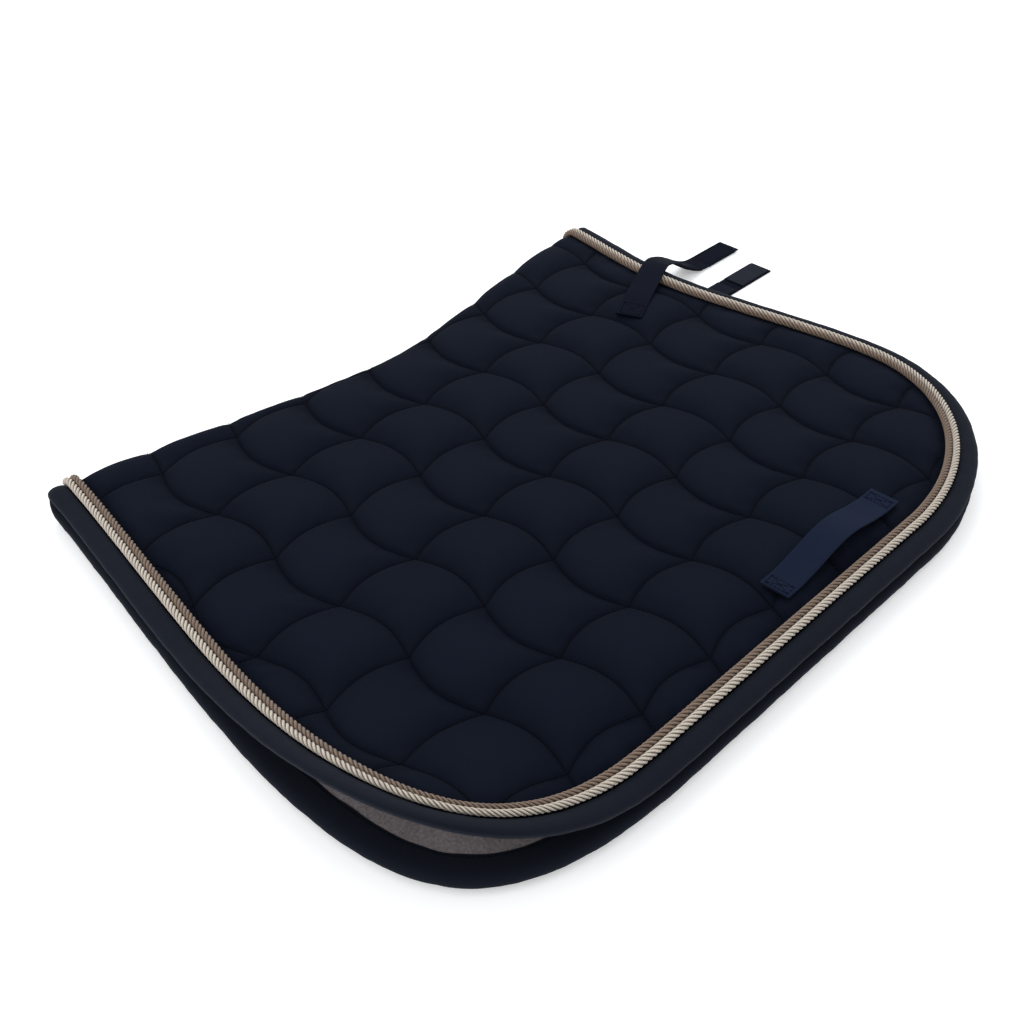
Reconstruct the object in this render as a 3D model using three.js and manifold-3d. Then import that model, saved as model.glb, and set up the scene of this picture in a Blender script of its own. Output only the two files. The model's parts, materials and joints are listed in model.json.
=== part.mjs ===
// A contoured saddle pad, folded along its spine and lying on its left half.
// Millimetres. +X points to the horse's head, +Y to the spine, +Z up. Each half is laid out as a flat
// panel, (x, y) in plan and h its height above the fold plane between the halves, and then wrapped
// round the fold at the spine.
import * as THREE from "three";
import { mergeVertices } from "three/addons/utils/BufferGeometryUtils.js";
import Module from "manifold-3d";

const wasm = await Module();
wasm.setup();

// ---- Driving dimensions: the outline ----
const spineLength = 645; // along the back, from loins to withers
const sideDrop = 541; // from the spine's ends down to the bottom edge
const spineDip = 47.5; // how deep the spine hollows behind the withers
const dipFromRear = 325; // where that hollow is deepest
const rearFlare = 57; // how far the rear edge reaches behind the spine
const flapReach = 6; // how far the front edge reaches ahead of the spine
const witherHollow = 20.5; // how far the front edge hollows in below the withers
const witherDrop = 146; // how far down that hollow lies
const rearCorner = { across: 189, up: 165 }; // the round corner at the bottom, rear
const frontCorner = { across: 215, up: 176 }; // the round corner at the bottom, front
const bottomRise = 4.5; // the bottom edge climbs this much towards the rear
const cornerLift = 31; // how far the top half's rear corner has curled up
const cornerLiftReach = 100; // width of the curled corner, measured to its tip
const cornerLiftTurn = (22 * Math.PI) / 180; // the corner curls up from the rear and a little from below

// ---- Driving dimensions: the layers ----
const halfThickness = 18; // one half, from the fold plane to its outer face
const gap = 0.3; // clearance between pieces that touch
const creaseTapeThickness = 0.9;
const creaseTapeWidth = 12;
const liningThickness = 4;
const shellThickness = 3;
const rimLayers = { lining: 1.7, wadding: 1.9, shell: 1.4 }; // pressed thin under the edge binding
const bindingFabric = 1;
const bindingEase = 0.7; // clearance between the layers and the binding round them
const bindingWidth = 15; // outer face, from the edge to the rope trim
const bindingInnerWidth = 22; // inner face, from the edge to the lining
const bindingRound = 2;
const bindingPocket = 2.6; // the layers stop this far inside the edge
const ropeDiameter = 6;
const quiltShoulder = 14.4; // the quilting swells to full thickness over this width
const layerLineStep = 20; // between the innermost two lines of the layers' plan

// ---- Driving dimensions: the webbing ----
const webbingWidth = 25;
const webbingThickness = 1.6;
const patchThickness = 1.2;
const patchLength = 46;
const sewnEnd = 25; // stitched down end of a strap
const strapAnchorFromFront = 125; // from the front end of the spine
const strapAnchorDrop = 170;
const rightStrapAngle = (24 * Math.PI) / 180; // turned up towards the withers
const strapTipLength = 57;
const strapCrossing = 12; // the right strap crosses the edge this far beyond the hollow below the withers
const strapEdgeBend = 16; // it starts to bend down this far before the edge
const strapFall = 78; // and meets the table this far beyond it
const strapSideStep = 4; // its tip lies this much nearer the spine than its crossing
const strapDroop = [
  { ahead: 24, share: 0.68 },
  { ahead: 47, share: 0.33 },
  { ahead: 65, share: 0.11 },
]; // how much of its height is left on the way down
const patchInset = 6; // from a strap's bend to its patches
const patchMargin = 1; // webbing showing beside a patch
const leftStrapFreeLength = 57; // between the pad's edge and the tip
const leftStrapEdgeClearance = 9; // the left strap's bend lies this far outside the edge
const girthLoopLength = 154;
const girthLoopSewnEnd = 20;
const girthLoopRise = 10; // how high the right loop bows off the pad
const girthLoopFromFront = 278; // centre of the loop, behind the front end of the spine
const girthLoopAboveBottom = 53;

// ---- Levels that follow ----
const middle = halfThickness + gap / 2; // height of the fold plane above the table
const top = 2 * middle; // outer face of the top half
const tapeLow = gap / 2;
const liningLow = tapeLow + creaseTapeThickness + gap + gap / 2;
const shellLow = halfThickness - shellThickness;
const ropeRadius = ropeDiameter / 2;
const rimShellHigh = halfThickness - gap / 3 - ropeDiameter - gap;
const rimShellLow = rimShellHigh - rimLayers.shell;
const rimWaddingHigh = rimShellLow - gap;
const rimWaddingLow = rimWaddingHigh - rimLayers.wadding;
const rimLiningHigh = rimWaddingLow - gap;
const rimLiningLow = rimLiningHigh - rimLayers.lining;
const bindingInside = { low: rimLiningLow - bindingEase, high: rimShellHigh + bindingEase };
const ropeHeight = rimShellHigh + gap + ropeRadius;
const outerRope = bindingWidth + gap + ropeRadius;
const innerRope = outerRope + ropeDiameter + gap;
const shoulderStart = innerRope + ropeRadius + gap;
const shoulderEnd = shoulderStart + quiltShoulder;
const seamRise = halfThickness * (Math.PI / 2 - 1); // cloth that the fold takes up

// ---- The outline ----
// The handles of its curves are shares of the dimensions that they lie along.
const point = (x, y) => new THREE.Vector2(x, y);

const spineCurves = [
  new THREE.CubicBezierCurve(
    point(0, 0),
    point(0.22 * dipFromRear, -0.19 * spineDip),
    point(0.77 * dipFromRear, -spineDip),
    point(dipFromRear, -spineDip),
  ),
  new THREE.CubicBezierCurve(
    point(dipFromRear, -spineDip),
    point(dipFromRear + 0.24 * (spineLength - dipFromRear), -spineDip),
    point(spineLength - 0.29 * (spineLength - dipFromRear), -0.02 * spineDip),
    point(spineLength, 0),
  ),
];
const spineSamples = spineCurves.flatMap((curve) => curve.getPoints(60));

// Height of the fold in plan, at a place along the spine.
function foldLine(x) {
  const inside = Math.min(Math.max(x, 0), spineLength);
  const k = spineSamples.findIndex((p) => p.x >= inside);
  const [a, b] = [spineSamples[Math.max(k - 1, 0)], spineSamples[Math.max(k, 0)]];
  const share = b.x > a.x ? (inside - a.x) / (b.x - a.x) : 0;
  return a.y + share * (b.y - a.y);
}

// Where the two halves are sewn together, laid out flat.
const seamLine = (x) => foldLine(x) + seamRise;

const rearX = -rearFlare;
const frontX = spineLength + flapReach;
const rearTop = point(rearX, rearCorner.up - sideDrop);
const bottomRear = point(rearX + rearCorner.across, bottomRise - sideDrop);
const bottomFront = point(frontX - frontCorner.across, -sideDrop);
const frontTop = point(frontX, frontCorner.up - sideDrop);
const waist = point(spineLength - witherHollow, -witherDrop);
const witherPoint = point(spineLength, seamRise);
const from = (p, dx, dy) => point(p.x + dx, p.y + dy);
const waistHandle = 0.44 * witherDrop;
// The edge, from the rear end of the spine down and round to the withers.
const rimCurves = [
  new THREE.CubicBezierCurve(
    point(0, seamRise),
    point(-0.2 * rearFlare, -0.167 * sideDrop),
    from(rearTop, 0, 0.61 * rearCorner.up),
    rearTop,
  ),
  new THREE.CubicBezierCurve(
    rearTop,
    from(rearTop, 0, -0.67 * rearCorner.up),
    from(bottomRear, -0.82 * rearCorner.across, 0.5 * bottomRise),
    bottomRear,
  ),
  new THREE.LineCurve(bottomRear, bottomFront),
  new THREE.CubicBezierCurve(
    bottomFront,
    from(bottomFront, 0.52 * frontCorner.across, 0),
    from(frontTop, 0, -0.6 * frontCorner.up),
    frontTop,
  ),
  new THREE.CubicBezierCurve(
    frontTop,
    from(frontTop, 0, waistHandle),
    from(waist, 0, -waistHandle),
    waist,
  ),
  new THREE.CubicBezierCurve(
    waist,
    from(waist, 0, 0.36 * witherDrop),
    from(witherPoint, -0.4 * witherHollow, -0.5 * witherDrop),
    witherPoint,
  ),
];
const rimEnd = rimCurves.length;

// A place on the edge, moved a distance inwards. The whole part of t picks the curve.
function rimPoint(t, inwards) {
  const k = Math.min(Math.floor(t), rimEnd - 1);
  const place = rimCurves[k].getPoint(t - k);
  const along = rimCurves[k].getTangent(t - k);
  return point(place.x - along.y * inwards, place.y + along.x * inwards);
}

// The t at which the moved edge lies a given depth below the seam, near the rear or the front.
function rimAtDepth(inwards, depth, atFront) {
  let [near, far] = atFront ? [rimEnd, rimEnd - 1.1] : [0, 0.7];
  for (let k = 0; k < 40; k++) {
    const t = (near + far) / 2;
    const p = rimPoint(t, inwards);
    if (seamLine(p.x) - p.y < depth) near = t;
    else far = t;
  }
  return (near + far) / 2;
}

// Stations along the edge: close together where it wraps round the fold, then by curve.
const foldStep = (halfThickness * Math.PI) / 8;
const foldDepths = [0, 1, 2, 3, 4].map((k) => k * foldStep);
const sideDepths = [0.41, 0.68, 0.99].map((share) => share * witherDrop);
const depthsAtSpine = [...foldDepths, ...sideDepths];
const evenStations = (curve, start, end, count) =>
  Array.from({ length: count }, (_, k) => curve + start + ((end - start) * (k + 1)) / count);
const rearStart = rimAtDepth(0, sideDepths[sideDepths.length - 1], false);
const stationsBetween = [
  ...evenStations(0, rearStart, 1, 12),
  ...evenStations(1, 0, 1, 20),
  ...evenStations(2, 0, 1, 3),
  ...evenStations(3, 0, 1, 10),
  ...evenStations(4, 0, 0.8, 3),
];

// The edge moved inwards, as places at the same stations whatever the distance.
function rimLine(inwards) {
  const rear = depthsAtSpine.map((depth) => rimAtDepth(inwards, depth, false));
  const front = depthsAtSpine.map((depth) => rimAtDepth(inwards, depth, true)).reverse();
  return [...rear, ...stationsBetween, ...front].map((t) => rimPoint(t, inwards));
}

// Wraps a flat place round the fold and stands it on the table, on the left or the right half.
// The right half also rises where its corner has curled up.
function place(x, y, h, side, rise = curledCorner(x, y)) {
  const curlStart = foldLine(x) - halfThickness;
  const turn = Math.max(0, y - curlStart) / halfThickness;
  const plan = turn > 0 ? curlStart + h * Math.sin(turn) : y;
  const up = (turn > 0 ? h * Math.cos(turn) : h) + gap / 2;
  if (side === "left") return new THREE.Vector3(x, plan, middle - up);
  return new THREE.Vector3(x, plan, middle + up + rise);
}

// The top half's rear corner curls up beyond a slanting line across it.
function curledCorner(x, y) {
  const tip = rimPoint(1.5, 0);
  const out = point(-Math.cos(cornerLiftTurn), -Math.sin(cornerLiftTurn));
  const beyond = cornerLiftReach + (x - tip.x) * out.x + (y - tip.y) * out.y;
  return cornerLift * (Math.max(0, beyond) / cornerLiftReach) ** 2;
}

// ---- Solids ----
function signedVolume(points, triangles) {
  let sum = 0;
  for (const [a, b, c] of triangles) {
    sum += points[a].dot(new THREE.Vector3().crossVectors(points[b], points[c])) / 6;
  }
  return sum;
}

function geometryOf(points, triangles) {
  const outward = signedVolume(points, triangles) > 0;
  const index = triangles.flatMap(([a, b, c]) => (outward ? [a, b, c] : [a, c, b]));
  const geometry = new THREE.BufferGeometry().setFromPoints(points);
  geometry.setIndex(index);
  return geometry;
}

function manifoldOf(geometry) {
  const bare = geometry.clone();
  bare.deleteAttribute("normal");
  bare.deleteAttribute("uv");
  const merged = mergeVertices(bare, 1e-4);
  return new wasm.Manifold(
    new wasm.Mesh({
      numProp: 3,
      vertProperties: merged.attributes.position.array,
      triVerts: new Uint32Array(merged.index.array),
    }),
  );
}

function cutBy(geometry, tools) {
  let solid = manifoldOf(geometry);
  for (const tool of tools) solid = solid.subtract(manifoldOf(tool));
  const mesh = solid.getMesh();
  const cut = new THREE.BufferGeometry();
  cut.setAttribute("position", new THREE.BufferAttribute(mesh.vertProperties, 3));
  cut.setIndex(new THREE.BufferAttribute(mesh.triVerts, 1));
  return cut;
}

// Sections of equal point counts joined one to the next, with both ends closed.
function lofted(sections, profile) {
  const count = profile.length;
  const triangles = [];
  for (let s = 0; s + 1 < sections.length; s++) {
    for (let k = 0; k < count; k++) {
      const [a, b] = [s * count + k, s * count + ((k + 1) % count)];
      triangles.push([a, b, b + count], [a, b + count, a + count]);
    }
  }
  const last = (sections.length - 1) * count;
  for (const [a, b, c] of THREE.ShapeUtils.triangulateShape(profile, [])) {
    triangles.push([a, c, b], [last + a, last + b, last + c]);
  }
  return geometryOf(sections.flat(), triangles);
}

// ---- The layers of a half ----
// The plan of every layer: lines along the edge at growing distances from it, then rows across
// the fold, then one flat middle. All layers share it, so the gaps between them stay even.
const plateau = shoulderEnd + quiltShoulder + layerLineStep;
const lineDistances = [
  bindingPocket,
  shoulderStart,
  (shoulderStart + shoulderEnd) / 2,
  shoulderEnd,
  plateau - layerLineStep,
  plateau,
];
const foldColumns = 11;

function layerPlan() {
  const lines = lineDistances.map((inwards) => rimLine(inwards));
  const stations = lines[0].length;
  const inner = lines.length - 1;
  const places = lines.flatMap((line, k) =>
    line.map((p) => ({ x: p.x, y: p.y, inwards: lineDistances[k] })),
  );
  const triangles = [];
  const square = (a, b, c, d) => triangles.push([a, b, c], [a, c, d]);
  for (let k = 0; k < inner; k++) {
    for (let s = 0; s + 1 < stations; s++) {
      const a = k * stations + s;
      square(a, a + 1, a + 1 + stations, a + stations);
    }
  }
  const rows = foldDepths.map((depth, row) => {
    const [rear, front] = [inner * stations + row, (inner + 1) * stations - 1 - row];
    const between = Array.from({ length: foldColumns - 1 }, (_, k) => {
      const share = (k + 1) / foldColumns;
      const x = places[rear].x + share * (places[front].x - places[rear].x);
      return places.push({ x, y: seamLine(x) - depth, inwards: plateau }) - 1;
    });
    return [rear, ...between, front];
  });
  for (let row = 0; row + 1 < rows.length; row++) {
    for (let k = 0; k < foldColumns; k++) {
      square(rows[row][k], rows[row + 1][k], rows[row + 1][k + 1], rows[row][k + 1]);
    }
  }
  const lastRow = rows[rows.length - 1];
  const innerLine = Array.from({ length: stations }, (_, s) => inner * stations + s);
  const flatPart = [
    ...innerLine.slice(rows.length - 1, stations - rows.length + 1),
    ...lastRow.slice(1, -1).reverse(),
  ];
  const outline = flatPart.map((k) => point(places[k].x, places[k].y));
  for (const face of THREE.ShapeUtils.triangulateShape(outline, [])) {
    triangles.push(face.map((k) => flatPart[k]));
  }
  const atSeam = (k) => lines.map((_, line) => line * stations + k);
  const border = [
    ...innerLine.map((k) => k - inner * stations),
    ...atSeam(stations - 1).slice(1),
    ...rows[0].slice(1, -1).reverse(),
    ...atSeam(0).slice(1).reverse(),
  ];
  return { places, triangles, border };
}
const plan = layerPlan();

// Swells from one level at the edge to another over the quilting's shoulder.
function swell(rimLevel, fullLevel) {
  return (inwards) => {
    const share = THREE.MathUtils.clamp((inwards - shoulderStart) / quiltShoulder, 0, 1);
    return rimLevel + (fullLevel - rimLevel) * Math.sin((share * Math.PI) / 2);
  };
}

// A layer between two levels, closed at the edge and at the seam.
function layer(low, high, side) {
  const points = [low, high].flatMap((level) =>
    plan.places.map((p) => place(p.x, p.y, level(p.inwards), side)),
  );
  const above = plan.places.length;
  const triangles = plan.triangles.flatMap(([a, b, c]) => [
    [a, c, b],
    [a + above, b + above, c + above],
  ]);
  plan.border.forEach((a, k) => {
    const b = plan.border[(k + 1) % plan.border.length];
    triangles.push([a, b, b + above], [a, b + above, a + above]);
  });
  return geometryOf(points, triangles);
}

const lining = (side) =>
  layer(swell(rimLiningLow, liningLow), swell(rimLiningHigh, liningLow + liningThickness), side);
const wadding = (side) =>
  layer(
    swell(rimWaddingLow, liningLow + liningThickness + gap),
    swell(rimWaddingHigh, shellLow - gap),
    side,
  );
const shell = (side) =>
  layer(swell(rimShellLow, shellLow), swell(rimShellHigh, halfThickness), side);

// ---- The trim that runs along the edge ----
// A profile of [distance from the edge, height] carried along the edge and round the fold.
function edgeTrim(profile, side) {
  const lines = profile.map(([inwards]) => rimLine(inwards));
  const [outer, inner] = [rimLine(bindingPocket), rimLine(shoulderStart)];
  const sections = lines[0].map((_, s) => {
    const rises = [outer[s], inner[s]].map((p) => curledCorner(p.x, p.y));
    return profile.map(([inwards, h], k) => {
      const share = (inwards - bindingPocket) / (shoulderStart - bindingPocket);
      const rise = THREE.MathUtils.lerp(rises[0], rises[1], share);
      return place(lines[k][s].x, lines[k][s].y, h, side, rise);
    });
  });
  return lofted(sections, profile.map(([inwards, h]) => point(inwards, h)));
}

function binding(side) {
  const { low, high } = bindingInside;
  const [outLow, outHigh] = [low - bindingFabric, high + bindingFabric];
  const insideWall = bindingPocket - 2 * gap;
  return edgeTrim(
    [
      [bindingWidth, outHigh],
      [bindingRound, outHigh],
      [0, outHigh - 0.85 * bindingRound],
      [0, outLow + 0.85 * bindingRound],
      [bindingRound, outLow],
      [bindingInnerWidth, outLow],
      [bindingInnerWidth, low],
      [insideWall, low],
      [insideWall, high],
      [bindingWidth, high],
    ],
    side,
  );
}

function rope(inwards, side) {
  const corners = Array.from({ length: 6 }, (_, k) => ((k + 0.5) * Math.PI) / 3);
  return edgeTrim(
    corners.map((a) => [
      inwards + ropeRadius * Math.cos(a),
      ropeHeight + ropeRadius * Math.sin(a),
    ]),
    side,
  );
}

// The tape that covers the seam inside the fold.
function creaseTape(side) {
  const spans = 16;
  const [low, high] = [tapeLow, tapeLow + creaseTapeThickness];
  const profile = [point(0, low), point(creaseTapeWidth, low), point(creaseTapeWidth, high), point(0, high)];
  const sections = Array.from({ length: spans + 1 }, (_, k) => {
    const x = bindingRound + (k / spans) * (spineLength - 2 * bindingRound);
    const edge = foldLine(x) - halfThickness - gap;
    return profile.map((p) => place(x, edge - p.x, p.y, side));
  });
  return lofted(sections, profile);
}

// ---- Webbing ----
// A band that follows a path, between two heights above it. The path is a list of
// {at: Vector3, across: Vector3}, at on the band's lower face.
function band(path, width, low, high) {
  const profile = [point(-1, low), point(1, low), point(1, high), point(-1, high)];
  const sections = path.map(({ at, across }, k) => {
    const before = path[Math.max(k - 1, 0)].at;
    const after = path[Math.min(k + 1, path.length - 1)].at;
    const along = new THREE.Vector3().subVectors(after, before).normalize();
    const up = new THREE.Vector3().crossVectors(along, across).normalize();
    return profile.map((corner) =>
      at
        .clone()
        .addScaledVector(across, (corner.x * width) / 2)
        .addScaledVector(up, corner.y),
    );
  });
  return lofted(sections, profile);
}

// The part of a curve between two shares of its length, as a path with level cross-lines.
function pathAlong(curve, start, end, spans) {
  return Array.from({ length: spans + 1 }, (_, k) => {
    const u = start + ((end - start) * k) / spans;
    const along = curve.getTangentAt(u);
    const across = new THREE.Vector3(-along.y, along.x, 0).normalize();
    return { at: curve.getPointAt(u), across };
  });
}

const line3 = (a, b) => new THREE.LineCurve3(a, b);
const strapAnchor = { x: spineLength - strapAnchorFromFront, y: -strapAnchorDrop };

// The right strap lies on the pad, crosses its edge and droops to the table.
const rightStrapLevel = top + gap;
const rightStrapPoint = (s) =>
  new THREE.Vector3(
    strapAnchor.x + s * Math.cos(rightStrapAngle),
    strapAnchor.y + s * Math.sin(rightStrapAngle),
    rightStrapLevel,
  );
const rightStrapEdge = strapAnchorFromFront - witherHollow + strapCrossing; // along it, to the pad's edge
const tableLevel = patchThickness + gap; // lower face of the tip, which rests on its patch
const overEdge = rightStrapPoint(rightStrapEdge);
const bendX = overEdge.x + strapFall;
const tipY = overEdge.y + strapSideStep;
const rightStrapRun = new THREE.CatmullRomCurve3([
  rightStrapPoint(sewnEnd + gap),
  rightStrapPoint(0.55 * rightStrapEdge),
  rightStrapPoint(rightStrapEdge - strapEdgeBend),
  new THREE.Vector3(overEdge.x + 2 * webbingThickness, overEdge.y, rightStrapLevel - 2 * webbingThickness),
  ...strapDroop.map(
    ({ ahead, share }) => new THREE.Vector3(overEdge.x + ahead, tipY, share * rightStrapLevel),
  ),
  new THREE.Vector3(bendX, tipY, tableLevel),
]);
const rightStrapSpans = 22;
const rightTipStart = bendX + gap;

const rightStrapAnchor = () =>
  band(
    pathAlong(line3(rightStrapPoint(0), rightStrapPoint(sewnEnd)), 0, 1, 1),
    webbingWidth,
    0,
    webbingThickness,
  );
const rightStrap = () =>
  band(pathAlong(rightStrapRun, 0, 1, rightStrapSpans), webbingWidth, 0, webbingThickness);
function rightLoopPatch() {
  const length = rightStrapRun.getLength();
  const [start, end] = [1 - (patchLength + patchInset) / length, 1 - patchInset / length];
  const width = webbingWidth - 2 * patchMargin;
  return band(pathAlong(rightStrapRun, start, end, 6), width, -gap - patchThickness, -gap);
}
function rightTip(low, high, start, length, width) {
  const ends = [start, start + length].map((x) => new THREE.Vector3(x, tipY, tableLevel));
  return band(pathAlong(line3(...ends), 0, 1, 1), width, low, high);
}
const rightStrapTip = () =>
  rightTip(0, webbingThickness, rightTipStart, strapTipLength, webbingWidth);
const rightHookPatch = () =>
  rightTip(
    -gap - patchThickness,
    -gap,
    rightTipStart + patchInset,
    patchLength,
    webbingWidth - 2 * patchMargin,
  );

// The left strap lies flat on the table, first under the pad and then beyond it.
const leftStrapBend = waist.x + leftStrapEdgeClearance;
const leftTipStart = leftStrapBend + gap + leftStrapFreeLength + gap;
function leftBand(start, end, low, high, width = webbingWidth) {
  const ends = [start, end].map((x) => new THREE.Vector3(x, strapAnchor.y, 0));
  return band(pathAlong(line3(...ends), 0, 1, 1), width, low, high);
}
const patchLow = webbingThickness + gap;
const patchHigh = patchLow + patchThickness;
const leftStrapAnchor = () => leftBand(strapAnchor.x, leftStrapBend, 0, webbingThickness);
const leftStrap = () =>
  leftBand(leftStrapBend + gap, leftTipStart - gap, 0, webbingThickness);
const leftStrapTip = () =>
  leftBand(leftTipStart, leftTipStart + strapTipLength, 0, webbingThickness);
const leftPatch = (start) =>
  leftBand(start, start + patchLength, patchLow, patchHigh, webbingWidth - 2 * patchMargin);
const leftLoopPatch = () => leftPatch(leftTipStart - patchInset - patchLength);
const leftHookPatch = () => leftPatch(leftTipStart + patchInset);

// The girth loops: the right one bows up off the pad, the left one is pressed flat.
const girthLoop = {
  start: spineLength - girthLoopFromFront - girthLoopLength / 2,
  y: girthLoopAboveBottom - sideDrop,
};
function rightGirthLoop() {
  const spans = 20;
  const free = girthLoopLength - 2 * girthLoopSewnEnd;
  const across = new THREE.Vector3(0, 1, 0);
  const path = Array.from({ length: spans + 1 }, (_, k) => {
    const s = (girthLoopLength * k) / spans;
    const share = THREE.MathUtils.clamp((s - girthLoopSewnEnd) / free, 0, 1);
    const rise = girthLoopRise * Math.sin(Math.PI * share) ** 2;
    return { at: new THREE.Vector3(girthLoop.start + s, girthLoop.y, top + gap + rise), across };
  });
  return band(path, webbingWidth, 0, webbingThickness);
}
function leftGirthLoop() {
  const across = new THREE.Vector3(0, 1, 0);
  const path = [0, girthLoopLength].map((s) => ({
    at: new THREE.Vector3(girthLoop.start + s, girthLoop.y, 0),
    across,
  }));
  return band(path, webbingWidth, 0, webbingThickness);
}

// Room pressed into the underside of the left half for the webbing below it.
function webbingRoom(start, end, y) {
  const width = webbingWidth + 4 * gap;
  const room = new THREE.BoxGeometry(end - start + 4 * gap, width, 2 * (webbingThickness + gap));
  return room.translate((start + end) / 2, y, 0);
}
const strapRoom = webbingRoom(strapAnchor.x, leftStrapBend, strapAnchor.y);
const loopRoom = webbingRoom(girthLoop.start, girthLoop.start + girthLoopLength, girthLoop.y);

// ---- Materials ----
const fabric = (color, roughness = 0.9) =>
  new THREE.MeshStandardMaterial({ color, roughness, metalness: 0 });
const quiltedCotton = fabric(0x171b28);
const bindingCotton = fabric(0x12161f);
const waddingFibre = fabric(0xe6e4de, 1);
const fleece = fabric(0x615a5b, 1);
const beigeRope = fabric(0xc2b8ab, 0.7);
const brownRope = fabric(0x7d6f62, 0.7);
const webbing = fabric(0x20242f, 0.8);
const patchTape = fabric(0x14171f, 1);

// ---- The pad ----
const pad = new THREE.Group();
function add(name, geometry, material) {
  const mesh = new THREE.Mesh(geometry, material);
  mesh.name = name;
  pad.add(mesh);
}

for (const side of ["left", "right"]) {
  const under = side === "left";
  const pressed = (geometry, rooms) => (under ? cutBy(geometry, rooms) : geometry);
  add(`${side}_outer_shell`, pressed(shell(side), [strapRoom, loopRoom]), quiltedCotton);
  add(`${side}_wadding`, wadding(side), waddingFibre);
  add(`${side}_lining`, lining(side), fleece);
  add(`${side}_edge_binding`, binding(side), bindingCotton);
  add(`${side}_beige_rope`, pressed(rope(outerRope, side), [strapRoom]), beigeRope);
  add(`${side}_brown_rope`, pressed(rope(innerRope, side), [strapRoom]), brownRope);
  add(`${side}_crease_tape`, creaseTape(side), bindingCotton);
}
add("right_strap_anchor", rightStrapAnchor(), webbing);
add("right_strap", rightStrap(), webbing);
add("right_strap_tip", rightStrapTip(), webbing);
add("right_loop_patch", rightLoopPatch(), patchTape);
add("right_hook_patch", rightHookPatch(), patchTape);
add("left_strap_anchor", leftStrapAnchor(), webbing);
add("left_strap", leftStrap(), webbing);
add("left_strap_tip", leftStrapTip(), webbing);
add("left_loop_patch", leftLoopPatch(), patchTape);
add("left_hook_patch", leftHookPatch(), patchTape);
add("right_girth_loop", rightGirthLoop(), webbing);
add("left_girth_loop", leftGirthLoop(), webbing);

// The origin is at the middle of the base.
const bounds = new THREE.Box3().setFromObject(pad);
const centre = bounds.getCenter(new THREE.Vector3());
pad.position.set(-centre.x, -centre.y, -bounds.min.z);

export default pad;
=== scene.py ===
# %% [markdown]
# # A quilted saddle pad, folded along its spine
# The pad lies on its left half and the right half is folded over it like the page of a book.
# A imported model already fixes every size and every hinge. This lesson only dresses it: it makes the
# puffed quilting, the padded binding, the twisted ropes, the fleece and the webbing round that frame.

# %% Load the fixed frame
import json
import math

import bmesh
import bpy
import numpy as np
from mathutils import Matrix, Vector


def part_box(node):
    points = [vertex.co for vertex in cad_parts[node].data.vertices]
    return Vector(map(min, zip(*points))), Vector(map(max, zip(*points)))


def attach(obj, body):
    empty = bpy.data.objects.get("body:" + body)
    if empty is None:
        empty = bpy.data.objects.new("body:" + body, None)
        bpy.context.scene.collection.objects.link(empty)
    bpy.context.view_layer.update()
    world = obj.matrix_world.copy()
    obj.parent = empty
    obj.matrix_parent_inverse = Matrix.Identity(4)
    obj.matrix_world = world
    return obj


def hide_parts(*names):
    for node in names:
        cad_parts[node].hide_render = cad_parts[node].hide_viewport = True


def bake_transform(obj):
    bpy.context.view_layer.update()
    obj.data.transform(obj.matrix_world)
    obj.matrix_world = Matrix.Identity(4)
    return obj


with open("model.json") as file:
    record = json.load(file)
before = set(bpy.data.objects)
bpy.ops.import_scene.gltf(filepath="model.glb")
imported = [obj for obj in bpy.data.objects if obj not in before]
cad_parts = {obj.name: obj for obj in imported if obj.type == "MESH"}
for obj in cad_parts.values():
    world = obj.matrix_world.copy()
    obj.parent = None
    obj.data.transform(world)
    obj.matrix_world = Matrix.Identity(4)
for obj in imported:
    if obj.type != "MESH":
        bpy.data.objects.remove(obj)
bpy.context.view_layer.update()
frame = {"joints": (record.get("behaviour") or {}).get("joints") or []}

SCENE = bpy.context.scene

# %% [markdown]
# ## Sizes
# All sizes are metres. The pattern of one half is drawn flat: x runs forward along the spine, y is
# minus the way down the side, and h is the height above the plane where the two halves meet.
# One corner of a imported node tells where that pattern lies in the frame.

# %% Sizes of the pattern and its layers
MM = 0.001
SPINE_LENGTH = 645 * MM
SIDE_DROP = 541 * MM
SPINE_DIP = 47.5 * MM
DIP_FROM_REAR = 325 * MM
REAR_FLARE = 57 * MM
FLAP_REACH = 6 * MM
WITHER_HOLLOW = 20.5 * MM
WITHER_DROP = 146 * MM
REAR_ACROSS, REAR_UP = 189 * MM, 165 * MM
FRONT_ACROSS, FRONT_UP = 215 * MM, 176 * MM
BOTTOM_RISE = 4.5 * MM
CORNER_LIFT, CORNER_REACH = 31 * MM, 100 * MM
CORNER_TURN = math.radians(22)  # the corner curls up from the rear and a little from below
HALF = 18 * MM  # thickness of one half
CLEARANCE = 0.15 * MM  # between the fold plane and each half
MIDDLE = HALF + CLEARANCE
SEAM_RISE = HALF * (math.pi / 2 - 1)
GIRTH_LOOP_START = 290 * MM
GIRTH_LOOP_DROP = 488 * MM

loop_low, loop_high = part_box("left_girth_loop")
ORIGIN = np.array([loop_low.x - GIRTH_LOOP_START, (loop_low.y + loop_high.y) / 2 + GIRTH_LOOP_DROP, 0.0])
print("pattern origin in the frame:", np.round(ORIGIN, 4))

# %% [markdown]
# ## The outline
# The edge of the pad is six smooth curves and the spine is two. A cubic curve needs only its two ends
# and two handles, so an outline drawn this way stays easy to change. Both are sampled once into arrays.


# %% Spine and edge as curves
def bezier(a, b, c, d, samples=160):
    """Cubic curve from a to d: the mean of a, b, c, d weighted by (1-t)^3, 3t(1-t)^2, 3t^2(1-t), t^3."""
    t = np.linspace(0, 1, samples)[:, None]
    a, b, c, d = (np.array(p, float) for p in (a, b, c, d))
    return (1 - t) ** 3 * a + 3 * t * (1 - t) ** 2 * b + 3 * t * t * (1 - t) * c + t**3 * d


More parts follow.
